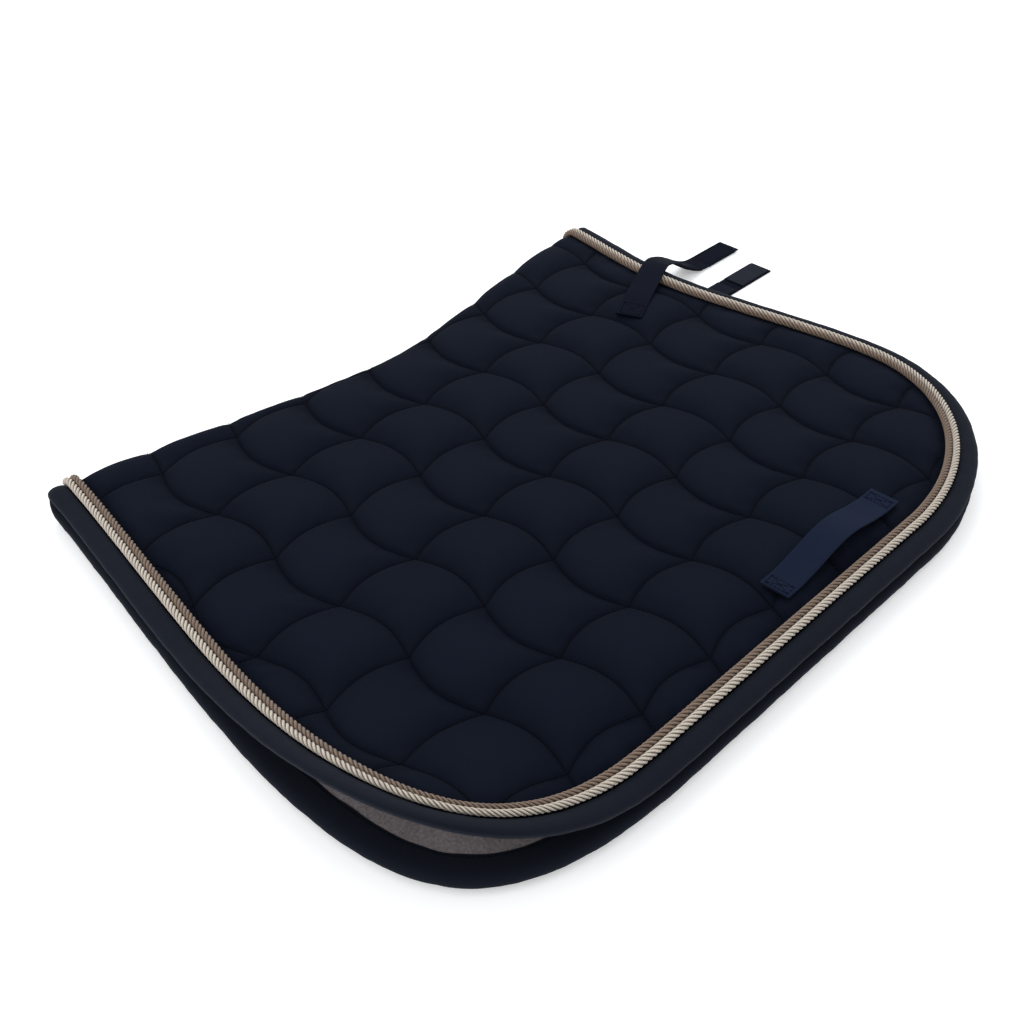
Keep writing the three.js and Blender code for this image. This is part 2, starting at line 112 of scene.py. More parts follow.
DIP = (DIP_FROM_REAR, -SPINE_DIP)
AHEAD = SPINE_LENGTH - DIP_FROM_REAR
SPINE = np.vstack([
    bezier((0, 0), (0.22 * DIP_FROM_REAR, -0.19 * SPINE_DIP), (0.77 * DIP_FROM_REAR, -SPINE_DIP), DIP),
    bezier(DIP, (DIP_FROM_REAR + 0.24 * AHEAD, -SPINE_DIP),
           (SPINE_LENGTH - 0.29 * AHEAD, -0.02 * SPINE_DIP), (SPINE_LENGTH, 0))[1:],
])

REAR_TOP = np.array([-REAR_FLARE, REAR_UP - SIDE_DROP])
BOTTOM_REAR = np.array([-REAR_FLARE + REAR_ACROSS, BOTTOM_RISE - SIDE_DROP])
FRONT_X = SPINE_LENGTH + FLAP_REACH
BOTTOM_FRONT = np.array([FRONT_X - FRONT_ACROSS, -SIDE_DROP])
FRONT_TOP = np.array([FRONT_X, FRONT_UP - SIDE_DROP])
WAIST = np.array([SPINE_LENGTH - WITHER_HOLLOW, -WITHER_DROP])
WITHERS = np.array([SPINE_LENGTH, SEAM_RISE])
WAIST_HANDLE = np.array([0, 0.44 * WITHER_DROP])
REAR_CURVE = (REAR_TOP, REAR_TOP - (0, 0.67 * REAR_UP),
              BOTTOM_REAR + (-0.82 * REAR_ACROSS, 0.5 * BOTTOM_RISE), BOTTOM_REAR)
EDGE_CURVES = [
    ((0, SEAM_RISE), (-0.2 * REAR_FLARE, -0.167 * SIDE_DROP), REAR_TOP + (0, 0.61 * REAR_UP), REAR_TOP),
    REAR_CURVE,
    (BOTTOM_REAR, (2 * BOTTOM_REAR + BOTTOM_FRONT) / 3, (BOTTOM_REAR + 2 * BOTTOM_FRONT) / 3, BOTTOM_FRONT),
    (BOTTOM_FRONT, BOTTOM_FRONT + (0.52 * FRONT_ACROSS, 0), FRONT_TOP - (0, 0.6 * FRONT_UP), FRONT_TOP),
    (FRONT_TOP, FRONT_TOP + WAIST_HANDLE, WAIST - WAIST_HANDLE, WAIST),
    (WAIST, WAIST + (0, 0.36 * WITHER_DROP), WITHERS - (0.4 * WITHER_HOLLOW, 0.5 * WITHER_DROP), WITHERS),
]
print("curves in the outline:", len(EDGE_CURVES))


# %% The edge measured by its length
def fold_line(x):
    """Height of the fold in the flat pattern at x, read off the sampled spine."""
    return np.interp(x, SPINE[:, 0], SPINE[:, 1])


def seam_line(x):
    """Where the two flat halves are joined: the fold line plus the cloth that the fold takes up."""
    return fold_line(x) + SEAM_RISE


def lengths_along(points):
    """Running length of a line of points: the summed distance from each point to the next."""
    steps = np.linalg.norm(np.diff(points, axis=0), axis=1)
    return np.concatenate([[0], np.cumsum(steps)])


def evenly(points, step):
    """The same line with points one step apart, by linear interpolation over its running length."""
    run = lengths_along(points)
    at = np.linspace(0, run[-1], max(2, int(round(run[-1] / step)) + 1))
    return np.stack([np.interp(at, run, points[:, k]) for k in range(points.shape[1])], 1)


EDGE_STEP = 2 * MM
OVERRUN = 30 * MM  # the edge is prolonged past the seam, so that lines inside it can reach the seam too
edge = evenly(np.vstack([bezier(*curve)[k > 0:] for k, curve in enumerate(EDGE_CURVES)]), EDGE_STEP)
EDGE_END = edge[-1] - edge[-3]
EDGE_BEGIN = edge[0] - edge[2]
edge = evenly(np.vstack([edge[0] + EDGE_BEGIN / np.linalg.norm(EDGE_BEGIN) * OVERRUN, edge,
                         edge[-1] + EDGE_END / np.linalg.norm(EDGE_END) * OVERRUN]), EDGE_STEP)
EDGE_RUN = lengths_along(edge)
tangent = np.gradient(edge, EDGE_RUN, axis=0)
tangent /= np.linalg.norm(tangent, axis=1)[:, None]
INWARD = np.stack([-tangent[:, 1], tangent[:, 0]], 1)
EDGE = edge
print(f"edge of one half: {EDGE_RUN[-1] - 2 * OVERRUN:.3f} m")

# %% [markdown]
# ## Folding the flat pattern
# Everything is laid out flat first and then wrapped round the fold. Flat work is much easier: quilting,
# ropes and binding are drawn once, and one function carries them round the spine on either half.


# %% From the flat pattern to the folded pad
CORNER_TIP = bezier(*REAR_CURVE, samples=3)[1]
CORNER_OUT = -np.array([math.cos(CORNER_TURN), math.sin(CORNER_TURN)])


def corner_rise(x, y):
    """The top half's rear corner curls up with the square of the way past a slanting line across it."""
    beyond = CORNER_REACH + (x - CORNER_TIP[0]) * CORNER_OUT[0] + (y - CORNER_TIP[1]) * CORNER_OUT[1]
    return CORNER_LIFT * (np.maximum(0, beyond) / CORNER_REACH) ** 2


def place(x, y, h, side):
    """Wraps flat places round the fold. Past the line where the fold starts, the way along y becomes an
    angle: a point then lies at h*sin(angle) beyond that line and h*cos(angle) from the fold plane."""
    x, y, h = np.broadcast_arrays(x, y, h)
    start = fold_line(x) - HALF
    turn = np.clip((y - start) / HALF, 0, math.pi / 2)
    plan = np.where(turn > 0, start + h * np.sin(turn), y)
    up = (h + CLEARANCE) * np.cos(turn)
    z = MIDDLE - up if side == "left" else MIDDLE + up + corner_rise(x, y)
    return np.stack([x, plan, z], -1) + ORIGIN


def edge_limits(inwards):
    """Where a line moved inwards from the edge meets the seam, at the rear and at the front: the running
    lengths at which its depth below the seam changes sign."""
    moved = EDGE + INWARD * inwards
    depth = seam_line(moved[:, 0]) - moved[:, 1]
    half = len(depth) // 2
    rear = np.interp(0, depth[:half // 4], EDGE_RUN[:half // 4])
    front = np.interp(0, depth[::-1][:half // 4], EDGE_RUN[::-1][:half // 4])
    return rear, front


LIMIT_DISTANCES = np.arange(0, 61) * MM
LIMITS = np.array([edge_limits(d) for d in LIMIT_DISTANCES])


def along_edge(share, inwards, h, side):
    """Folded points at a share of the edge's length, a distance inwards from it and a height h."""
    share, inwards, h = np.broadcast_arrays(share, inwards, h)
    rear = np.interp(inwards, LIMIT_DISTANCES, LIMITS[:, 0])
    front = np.interp(inwards, LIMIT_DISTANCES, LIMITS[:, 1])
    run = rear + (front - rear) * share
    x, y = (np.interp(run, EDGE_RUN, EDGE[:, k]) + np.interp(run, EDGE_RUN, INWARD[:, k]) * inwards
            for k in (0, 1))
    return place(x, y, h, side)


EDGE_LENGTH = LIMITS[0, 1] - LIMITS[0, 0]
print("depth found at both ends:", np.round(LIMITS[[0, 25]], 4).tolist())

# %% [markdown]
# ## From arrays to pieces
# A piece is an array of points, an array of faces and, for cloth, a flat map in metres. The map is what
# makes weave and ribs follow the cloth round a fold instead of sliding through it.


# %% Mesh helpers
def grid_faces(rows, columns, wrap=False):
    """Squares of a grid numbered row by row. With wrap, the last column joins the first."""
    r, c = np.meshgrid(np.arange(rows - 1), np.arange(columns if wrap else columns - 1), indexing="ij")
    a, b = r * columns + c, r * columns + (c + 1) % columns
    return np.stack([a, b, b + columns, a + columns], -1).reshape(-1, 4)


def make_piece(name, points, faces, flat_map=None, extra=(), closed=True):
    """A mesh object from arrays. faces is an array of squares, extra a list of other faces. The faces of
    a closed piece are turned to point outwards."""
    mesh = bpy.data.meshes.new(name)
    mesh.from_pydata(points.reshape(-1, 3).tolist(), [], faces.tolist() + [list(f) for f in extra])
    if closed:
        solid = bmesh.new()
        solid.from_mesh(mesh)
        bmesh.ops.recalc_face_normals(solid, faces=solid.faces)
        solid.to_mesh(mesh)
        solid.free()
    if flat_map is not None:
        corners = np.empty(len(mesh.loops), np.int32)
        mesh.loops.foreach_get("vertex_index", corners)
        layer = mesh.uv_layers.new(name="cloth")
        layer.data.foreach_set("uv", flat_map.reshape(-1, 2)[corners].astype(np.float32).ravel())
    mesh.polygons.foreach_set("use_smooth", np.ones(len(mesh.polygons), bool))
    piece = bpy.data.objects.new(name, mesh)
    SCENE.collection.objects.link(piece)
    return piece


def swept(name, sections, flat_map=None):
    """A closed tube from an array of sections (stations, points round, 3), its two ends capped."""
    stations, around = sections.shape[:2]
    first, last = range(around), range((stations - 1) * around, stations * around)
    return make_piece(name, sections, grid_faces(stations, around, wrap=True), flat_map,
                      extra=[list(first)[::-1], list(last)])


def finish_modifiers(piece):
    """Applies the live modifiers, so that the mesh is final."""
    graph = bpy.context.evaluated_depsgraph_get()
    graph.update()
    final = bpy.data.meshes.new_from_object(piece.evaluated_get(graph))
    piece.modifiers.clear()
    piece.data = final
    return piece


def triangles_in(piece):
    """Triangle count of a piece: corners minus two for every face, summed."""
    sizes = np.empty(len(piece.data.polygons), np.int32)
    piece.data.polygons.foreach_get("loop_total", sizes)
    return int((sizes - 2).sum())


print("mesh helpers ready")

# %% [markdown]
# ## The quilting pattern
# The rows of stitching are scallops and the columns are long waves, so each cell is a curved square.
# A grid drawn in cells (u across, v along the side) and then bent into that pattern puts every stitch
# line on a grid line. That lets the cloth be held exactly where a real needle holds it.

# %% Quilting grid
CELL = 72 * MM
SCALLOP = 0.125  # height of a scallop, in cells
SWAY = 0.13  # how far a column line waves to each side, in cells
QUILT_TURN = math.radians(-1.257)  # the quilting is not quite square to the spine
QUILT_SHIFT = np.array([2.0, -128.4]) * MM
CELLS_ACROSS = (-2, 11)
CELLS_DOWN = (-7, 3)
CROWDING = 0.45  # how much the grid lines crowd towards the stitches: 0 would space them evenly


def quilted(u, v):
    """Flat places of cell coordinates: x waves with the sine of v, y rises by the arched sine of u."""
    across = CELL * (u - SWAY * np.sin(math.pi * v)) + QUILT_SHIFT[0]
    down = CELL * (v + SCALLOP * np.abs(np.sin(math.pi * u))) + QUILT_SHIFT[1]
    cosine, sine = math.cos(QUILT_TURN), math.sin(QUILT_TURN)
    return across * cosine - down * sine, across * sine + down * cosine


def cell_lines(cells, steps):
    """Grid lines over a range of cells, closer together near each stitch line."""
    t = np.arange(steps) / steps
    t = (1 - CROWDING) * t + CROWDING * (0.5 - 0.5 * np.cos(math.pi * t))
    return (np.arange(*cells)[:, None] + t).ravel()


def edge_distance(x, y):
    """Distance inwards from the edge, and the inward direction, from the nearest sampled edge point."""
    gap_x = x.ravel()[:, None].astype(np.float32) - EDGE[None, :, 0].astype(np.float32)
    gap_y = y.ravel()[:, None].astype(np.float32) - EDGE[None, :, 1].astype(np.float32)
    nearest = np.argmin(gap_x**2 + gap_y**2, 1)
    away = np.stack([x.ravel(), y.ravel()], 1) - EDGE[nearest]
    distance = np.linalg.norm(away, axis=1) * np.sign((away * INWARD[nearest]).sum(1))
    return distance.reshape(x.shape), INWARD[nearest].reshape(*x.shape, 2)


print(f"corner of one cell in the flat pattern: {np.round(quilted(1, 1), 4).tolist()}")

# %% The grid of one half
SHOULDER = 28 * MM  # the quilting starts this far inside the edge, just past the ropes
SHOULDER_WIDTH = 14 * MM
PUFF_FULLNESS = 0.62  # below 1, so that the middle of a cell is broad and its sides are steep


def quilt_plan(steps, rim, lines=(SHOULDER,)):
    """One half's quilting as flat arrays: grid points inside the seam and the rim, moved onto the lines
    that follow the edge and the seam where they lie next to them, with each cell's puff from 0 to 1."""
    u, v = np.meshgrid(cell_lines(CELLS_ACROSS, steps), cell_lines(CELLS_DOWN, steps), indexing="ij")
    x, y = quilted(u, v)
    inwards, inward = edge_distance(x, y)
    for line in lines:
        near = np.abs(inwards - line) < CELL / 2 / steps
        x = np.where(near, x + inward[..., 0] * (line - inwards), x)
        y = np.where(near, y + inward[..., 1] * (line - inwards), y)
        inwards = np.where(near, line, inwards)
    depth = seam_line(x) - y
    at_seam = np.zeros(x.shape, bool)
    at_seam[np.arange(len(x)), np.argmin(np.abs(depth), 1)] = True
    y = np.where(at_seam, seam_line(x), y)
    depth = np.where(at_seam, 0, depth)
    kept = (depth >= 0) & (inwards >= rim)
    squares = grid_faces(*x.shape)
    whole = kept.ravel()[squares].all(1)
    three = kept.ravel()[squares].sum(1) == 3
    corners = squares[three]
    corners = corners[kept.ravel()[corners]].reshape(-1, 3)
    used = np.unique(np.concatenate([squares[whole].ravel(), corners.ravel()]))
    number = np.full(x.size, -1)
    number[used] = np.arange(len(used))
    bulge = 1 - (2 * (u % 1) - 1) ** 2, 1 - (2 * (v % 1) - 1) ** 2
    puff = (bulge[0] * bulge[1]) ** PUFF_FULLNESS
    shoulder = np.clip((inwards - SHOULDER) / SHOULDER_WIDTH, 0, 1)
    plan = {"x": x, "y": y, "inwards": inwards, "depth": depth, "puff": puff, "at_seam": at_seam,
            "shoulder": np.sin(shoulder * math.pi / 2),
            "across_line": (u % 1) == 0, "down_line": (v % 1) == 0}
    plan = {name: values.ravel()[used] for name, values in plan.items()}
    plan["squares"], plan["corners"] = number[squares[whole]], number[corners]
    return plan


def border_edges(plan):
    """Directed edges that belong to one face only: all face edges, kept where the sorted pair is single."""
    rings = [np.roll(faces, -k, 1)[:, :2]
             for faces in (plan["squares"], plan["corners"]) for k in range(faces.shape[1])]
    pairs = np.concatenate(rings)
    _, first, count = np.unique(np.sort(pairs, 1), axis=0, return_index=True, return_counts=True)
    return pairs[first[count == 1]]


QUILT_STEPS = 12
PANEL_EDGE = 8 * MM  # the panel ends inside the binding's roll
quilt = quilt_plan(QUILT_STEPS, PANEL_EDGE)
print("quilting grid:", {kind: len(quilt[kind]) for kind in ("x", "squares", "corners")})

# %% [markdown]
# ## Puffing the cloth
# Quilted cloth is held down along its stitches and pushed up by the wadding between them. A cloth
# simulation does just that: the stitch lines are pinned, pressure plays the wadding, and the spare
# cloth finds its own folds. It runs on the flat pattern, where it is quick, and is wrapped afterwards.

# %% Cloth simulation of the quilting
PUFF_HEIGHT = 5.4 * MM
START_SHARE = 0.72  # the cloth starts lower than it ends, because pressure swells it
SPARE_CLOTH = 0.02  # quilted cloth is a little longer than the pattern it is sewn to
SWELL_PRESSURE = 40
MOST_SWELL = 4 * MM
PUFF_AT_FOLD = 0.4  # the cloth is drawn tight over the fold, so the puffs are lower there
FADE_AT_FOLD = 62 * MM
SWELL_FRAMES = 18


def sewn_down(plan):
    """Where the cloth can't move: on stitch lines, at the edge, and where it meets the other half."""
    by_the_edge = plan["inwards"] <= SHOULDER + 0.1 * MM
    return plan["across_line"] | plan["down_line"] | plan["at_seam"] | by_the_edge


def start_height(plan):
    """Height above the stitches before the cloth is swelled: the puff, faded out at the shoulder."""
    return PUFF_HEIGHT * START_SHARE * plan["puff"] * plan["shoulder"]


def swelled(plan):
    """Runs the cloth under pressure and returns its points, no further than MOST_SWELL from the start."""
    flat = np.stack([plan["x"], plan["y"], start_height(plan)], 1)
    facing_up = plan["squares"][:, ::-1], plan["corners"][:, ::-1].tolist()
    cloth = make_piece("swelling_cloth", flat, facing_up[0], extra=facing_up[1], closed=False)
    held = cloth.vertex_groups.new(name="stitches")
    held.add(np.flatnonzero(sewn_down(plan)).tolist(), 1.0, "REPLACE")
    modifier = cloth.modifiers.new("swelling", "CLOTH")
    settings = modifier.settings
    settings.quality = 5
    settings.mass = 0.3
    settings.tension_stiffness = settings.compression_stiffness = 15
    settings.shear_stiffness = 5
    settings.bending_stiffness = 0.05
    settings.vertex_group_mass = "stitches"
    settings.shrink_min = -SPARE_CLOTH
    settings.use_pressure = True
    settings.uniform_pressure_force = SWELL_PRESSURE
    settings.effector_weights.gravity = 0
    modifier.collision_settings.use_collision = False
    modifier.point_cache.frame_start, modifier.point_cache.frame_end = 1, SWELL_FRAMES
    for number in range(1, SWELL_FRAMES + 1):
        SCENE.frame_set(number)
    final = cloth.evaluated_get(bpy.context.evaluated_depsgraph_get()).data
    moved = np.empty(len(final.vertices) * 3, np.float32)
    final.vertices.foreach_get("co", moved)
    moved = moved.reshape(-1, 3) - flat
    mesh = cloth.data
    bpy.data.objects.remove(cloth)
    bpy.data.meshes.remove(mesh)
    SCENE.frame_set(1)
    distance = np.linalg.norm(moved, axis=1)
    limit = MOST_SWELL * np.tanh(distance / MOST_SWELL) / np.maximum(distance, 1e-9)
    return flat + moved * limit[:, None]


print("points held by the stitches:", int(sewn_down(quilt).sum()), "of", len(quilt["x"]))

# %% Run the simulation
HIGH_SHARE = 95  # the percentile of the heights that is brought to PUFF_HEIGHT
puffed = swelled(quilt)
puffed[:, 2] *= PUFF_HEIGHT / np.percentile(puffed[:, 2], HIGH_SHARE)
by_the_fold = np.clip(quilt["depth"] / FADE_AT_FOLD, 0, 1)
puffed[:, 2] *= PUFF_AT_FOLD + (1 - PUFF_AT_FOLD) * np.sin(by_the_fold * math.pi / 2) ** 2
print(f"puffs: {puffed[:, 2].min() / MM:.2f} to {puffed[:, 2].max() / MM:.2f} mm")

# %% [markdown]
# ## The quilted panels
# Each half's outer panel is the puffed cloth on top of its wadding, closed underneath and at its rim.
# Where webbing is sewn on, or the pad lies on the table, the puffs are pressed flat. A soft minimum
# does that: it follows the lower of two heights and rounds the corner where they cross.

# %% Heights of the panels
VALLEY = 12.4 * MM  # height of the stitch lines
UNDERSIDE = 6.4 * MM
RIM_TOP, RIM_UNDER = 11.4 * MM, 8.7 * MM  # both faces draw together under the ropes and the binding
RIM_FROM, RIM_FADE = 25 * MM, 15 * MM
FREE_HEIGHT = 18.5 * MM  # nothing presses the cloth below this
TABLE_HEIGHT = 17.75 * MM
UNDER_WEBBING = 15.9 * MM  # between the table and the left half's webbing
SEWN_HEIGHT = 16.4 * MM  # where webbing is stitched down
BESIDE_WEBBING = 17.9 * MM  # where webbing only lies on the right half

STRAP_WIDTH, STRAP_THICK = 25 * MM, 1.6 * MM
STRAP_START = np.array([SPINE_LENGTH - 125 * MM, -170 * MM])
STRAP_HEADING = math.radians(24)
STRAP_SEWN = 25 * MM
STRAP_TO_EDGE = 116.5 * MM
LOOP_LENGTH, LOOP_SEWN = 154 * MM, 20 * MM
LEFT_STRAP_BEND = 633.5 * MM
print(f"height of the quilting: {(FREE_HEIGHT - VALLEY) / MM:.1f} mm at most")


# %% Pressing the puffs flat
def smooth(t):
    """Rises from 0 to 1 with level ends: t squared times (3 - 2t), with t held between 0 and 1."""
    t = np.clip(t, 0, 1)
    return t * t * (3 - 2 * t)


def soft_lower(a, b, corner=0.5 * MM):
    """The lower of two heights with a rounded corner: their mean less half the root of gap^2 + corner^2."""
    return 0.5 * (a + b - np.sqrt((a - b) ** 2 + corner**2))


def strip(x, y, start, heading, length, width, margin=3 * MM):
    """1 inside a straight strip and 0 outside it, fading over a margin on all its sides."""
    along = (x - start[0]) * math.cos(heading) + (y - start[1]) * math.sin(heading)
    across = (y - start[1]) * math.cos(heading) - (x - start[0]) * math.sin(heading)
    return (smooth((along + margin) / margin) * smooth((length + margin - along) / margin)
            * smooth((width / 2 + margin - np.abs(across)) / margin))


def pressed(x, y, h, side):
    """Heights of the outer face after the webbing and the table have pressed it."""
    turn = smooth((y - fold_line(x) + HALF) / (HALF * math.pi / 2))
    loop = (GIRTH_LOOP_START, -GIRTH_LOOP_DROP)
    if side == "left":
        limit = TABLE_HEIGHT + (FREE_HEIGHT - TABLE_HEIGHT) * turn
        webbing = strip(x, y, STRAP_START, 0, LEFT_STRAP_BEND - STRAP_START[0], STRAP_WIDTH)
        webbing = np.maximum(webbing, strip(x, y, loop, 0, LOOP_LENGTH, STRAP_WIDTH))
        return soft_lower(h, limit + (UNDER_WEBBING - limit) * webbing)
    limit = np.full_like(h, FREE_HEIGHT)
    below = np.maximum(strip(x, y, STRAP_START, STRAP_HEADING, STRAP_TO_EDGE, STRAP_WIDTH),
                       strip(x, y, loop, 0, LOOP_LENGTH, STRAP_WIDTH))
    far_end = (loop[0] + LOOP_LENGTH - LOOP_SEWN, loop[1])
    sewn = np.maximum.reduce([strip(x, y, STRAP_START, STRAP_HEADING, STRAP_SEWN, STRAP_WIDTH),
                              strip(x, y, loop, 0, LOOP_SEWN, STRAP_WIDTH),
                              strip(x, y, far_end, 0, LOOP_SEWN, STRAP_WIDTH)])
    limit = limit + (BESIDE_WEBBING - limit) * below
    return soft_lower(h, limit + (SEWN_HEIGHT - limit) * sewn)


def from_rim(inwards):
    """0 at the rim and 1 where both faces of the panel have reached their full distance apart."""
    return smooth((inwards - RIM_FROM) / RIM_FADE)


print(f"a 20 mm puff on the table: {soft_lower(20 * MM, TABLE_HEIGHT) / MM:.2f} mm")

# %% Closed quilted layers
STITCH_CREASE = 0.55  # how sharp the stitch lines stay under subdivision


def closed_layer(name, plan, points_above, points_below, crease_lines=None):
    """A solid from two sheets of points over the same plan, joined by walls along its border. Edges on
    the border stay sharp under subdivision, and edges between crease_lines points partly so."""
    count = len(plan["x"])
    border = border_edges(plan)
    walls = np.stack([border[:, 0], border[:, 1], border[:, 1] + count, border[:, 0] + count], 1)
    squares = np.vstack([plan["squares"], plan["squares"] + count, walls])
    corners = plan["corners"].tolist() + (plan["corners"] + count).tolist()
    flat = np.tile(np.stack([plan["x"], plan["y"]], 1), (2, 1))
    piece = make_piece(name, np.vstack([points_above, points_below]), squares, flat, extra=corners)
    mesh = piece.data
    ends = np.empty(len(mesh.edges) * 2, np.int32)
    mesh.edges.foreach_get("vertices", ends)
    ends = np.sort(ends.reshape(-1, 2), 1)
    keys = ends[:, 0] * (2 * count) + ends[:, 1]
    rim = np.sort(np.vstack([border, border + count]), 1)
    crease = np.isin(keys, rim[:, 0] * (2 * count) + rim[:, 1]).astype(np.float32)
    if crease_lines is not None:
        both = [line[ends % count].all(1) for line in crease_lines]
        crease = np.maximum(crease, STITCH_CREASE * np.any(both, 0))
    mesh.attributes.new("crease_edge", "FLOAT", "EDGE").data.foreach_set("value", crease)
    # Painted shade: this attribute tells the shader where to darken the base colour, in the creases between
    # the puffs.
    puff = mesh.attributes.new("puff", "FLOAT", "POINT")
    shade = np.tile(np.sqrt(plan["puff"] * plan["shoulder"]), 2)  # the root keeps the dark to the creases
    puff.data.foreach_set("value", shade.astype(np.float32))
    finer = piece.modifiers.new("finer", "SUBSURF")
    finer.levels = finer.render_levels = 1
    return finish_modifiers(piece)


outer_height = RIM_TOP + (VALLEY - RIM_TOP) * from_rim(quilt["inwards"]) + puffed[:, 2]
under_height = RIM_UNDER + (UNDERSIDE - RIM_UNDER) * from_rim(quilt["inwards"])
puffed_x, puffed_y = puffed[:, 0], puffed[:, 1]
panels = {}
for side in ("left", "right"):
    above = place(puffed_x, puffed_y, pressed(puffed_x, puffed_y, outer_height, side), side)
    below = place(quilt["x"], quilt["y"], under_height, side)
    panels[side] = closed_layer(f"{side}_quilted_panel", quilt, above, below,
                                crease_lines=(quilt["across_line"], quilt["down_line"]))
    print(panels[side].name, triangles_in(panels[side]), "triangles")

# %% [markdown]
# ## Fleece lining
# The lining is a sheet of short-pile fleece on the inner face of each half. The same needle goes
# through it, so it shows the same cells, only shallower. It reuses the quilting grid with wider steps.

# %% Fleece lining
FLEECE_FACE = 1.5 * MM  # height of the pile where it is fullest
FLEECE_DIMPLE = 1.6 * MM
FLEECE_THICK = 2.3 * MM
FLEECE_RIM = 5.9 * MM
FLEECE_EDGE = 16.5 * MM  # hidden under the binding's inner lip
FLEECE_SHOWS = 19.6 * MM  # where it comes out from under the lip
FLEECE_RISE = 18 * MM  # how far from there it reaches its full height
FLEECE_AT_FOLD = 3.3 * MM  # kept off the seam tape, so that it stays behind it when the pad opens
TAPED, TAPED_FADE = 22 * MM, 14 * MM  # how far from the seam it is kept off, and how far that fades
FLEECE_STEPS = 8

fleece_plan = quilt_plan(FLEECE_STEPS, FLEECE_EDGE - 0.1 * MM, lines=(FLEECE_EDGE, SHOULDER))
fleece_share = smooth((fleece_plan["inwards"] - FLEECE_SHOWS) / FLEECE_RISE)
fleece_face = FLEECE_FACE + FLEECE_DIMPLE * (1 - fleece_plan["puff"])
round_the_fold = 1 - smooth((fleece_plan["depth"] - TAPED) / TAPED_FADE)
fleece_face += (FLEECE_AT_FOLD - fleece_face) * round_the_fold
fleece_low = FLEECE_RIM + (fleece_face - FLEECE_RIM) * fleece_share
linings = {}
for side in ("left", "right"):
    faces = [place(fleece_plan["x"], fleece_plan["y"], fleece_low + lift, side)
             for lift in (FLEECE_THICK, 0)]
    linings[side] = closed_layer(f"{side}_fleece_lining", fleece_plan, *faces)
    print(linings[side].name, triangles_in(linings[side]), "triangles")

# %% [markdown]
# ## Padded binding
# The raw edge is wrapped in a folded strip of cotton with a little padding in it. Its section is a
# rounded hook: short on the outer face, long on the inner one. The section is a closed curve through a
# few listed points, carried along the edge, with slow swells and puckers so it looks sewn.


# %% Edge binding
def closed_curve(points, samples):
    """A smooth closed curve through points (Catmull-Rom): on each span the cubic that leaves and enters
    along the line between the neighbours on either side."""
    points = np.array(points, float)
    t = (np.arange(samples) / samples)[None, :, None]
    a, b, c, d = (np.roll(points, shift, 0)[:, None] for shift in (1, 0, -1, -2))
    cubic = 2 * b + (c - a) * t + (2 * a - 5 * b + 4 * c - d) * t**2 + (3 * b - a - 3 * c + d) * t**3
    return 0.5 * cubic.reshape(-1, points.shape[1])


BINDING_SECTION = [(15.2, 12.2), (12.6, 13.3), (8.0, 13.8), (3.3, 12.9), (0.4, 10.8), (-0.2, 8.6),
                   (0.4, 6.3), (3.2, 4.4), (8.0, 3.8), (13.8, 4.0), (19.2, 4.4), (19.6, 5.2),
                   (14.0, 5.3), (5.4, 5.5), (2.6, 7.0), (2.5, 10.0), (5.2, 11.9), (12.0, 12.2)]
BINDING_CENTRE = np.array([7.5, 8.6]) * MM  # the section swells and shrinks about this place
BINDING_STEP = 3.5 * MM
SWELL, SWELL_WAVES = 0.035, (0.083, 0.047, 0.031)
PUCKER, PUCKER_WAVES = 0.018, (0.0105, 0.0142, 0.019)
ROLL_END = 13 * MM  # only the roll puckers, not the flat lip behind it
LOWEST_LIP = 3.7 * MM


def ripple(run, waves, seed):
    """A slow uneven swell along a length: sine waves of the given lengths with seeded phases, averaged."""
    phases = np.random.default_rng(seed).uniform(0, 2 * math.pi, len(waves))
    return sum(np.sin(2 * math.pi * run / wave + phase) for wave, phase in zip(waves, phases)) / len(waves)


bindings = {}
for number, side in enumerate(("left", "right")):
    share = np.linspace(0, 1, int(EDGE_LENGTH / BINDING_STEP))[:, None]
    section = closed_curve(BINDING_SECTION, 2) * MM
    run = share * EDGE_LENGTH
    swell = 1 + SWELL * ripple(run, SWELL_WAVES, seed=3 + number)
    pucker = PUCKER * ripple(run, PUCKER_WAVES, seed=7 + number) * (section[:, 0] < ROLL_END)
    inwards = BINDING_CENTRE[0] + (section[None, :, 0] - BINDING_CENTRE[0]) * (swell + pucker)
    height = BINDING_CENTRE[1] + (section[None, :, 1] - BINDING_CENTRE[1]) * (swell + pucker)
    height = np.clip(height, LOWEST_LIP, None)
    around = lengths_along(section)
    flat_map = np.stack(np.broadcast_arrays(run, around[None, :]), -1)
    bindings[side] = swept(f"{side}_padded_binding", along_edge(share, inwards, height, side), flat_map)
    print(bindings[side].name, triangles_in(bindings[side]), "triangles")

# %% [markdown]
# ## Twisted ropes
# Two ropes lie side by side inside the binding. A rope of four strands has a section like a clover
# leaf that turns as it goes along. Both ropes twist the same way.

# %% Twisted ropes
STRANDS = 4
STRAND_RADIUS = 1.3 * MM
STRAND_ORBIT = 1.68 * MM
TWIST_PITCH = 18.5 * MM
ROPE_HEIGHT = 14.9 * MM
ROPE_STEP = 1.15 * MM
ROPE_PRESSED = 2.1 * MM  # how far the left strap presses the ropes up into the pad
PRESSED_WIDTH, PRESSED_FADE = 22 * MM, 9 * MM
ROPE_WAVE, ROPE_WAVES = 0.12 * MM, (0.06, 0.033)
ROPE_PLACES = {"beige": 18.3 * MM, "brown": 24.2 * MM}  # distances inwards from the edge
SKIN_POINTS = 24


def clover(angle):
    """Distance from the rope's middle to the skin of its nearest strand: orbit*cos(a) plus the root of
    radius^2 - (orbit*sin(a))^2, a being the angle from that strand."""
    slice_width = 2 * math.pi / STRANDS
    off = (angle + slice_width / 2) % slice_width - slice_width / 2
    inside = np.maximum(STRAND_RADIUS**2 - (STRAND_ORBIT * np.sin(off)) ** 2, 0)
    return STRAND_ORBIT * np.cos(off) + np.sqrt(inside)


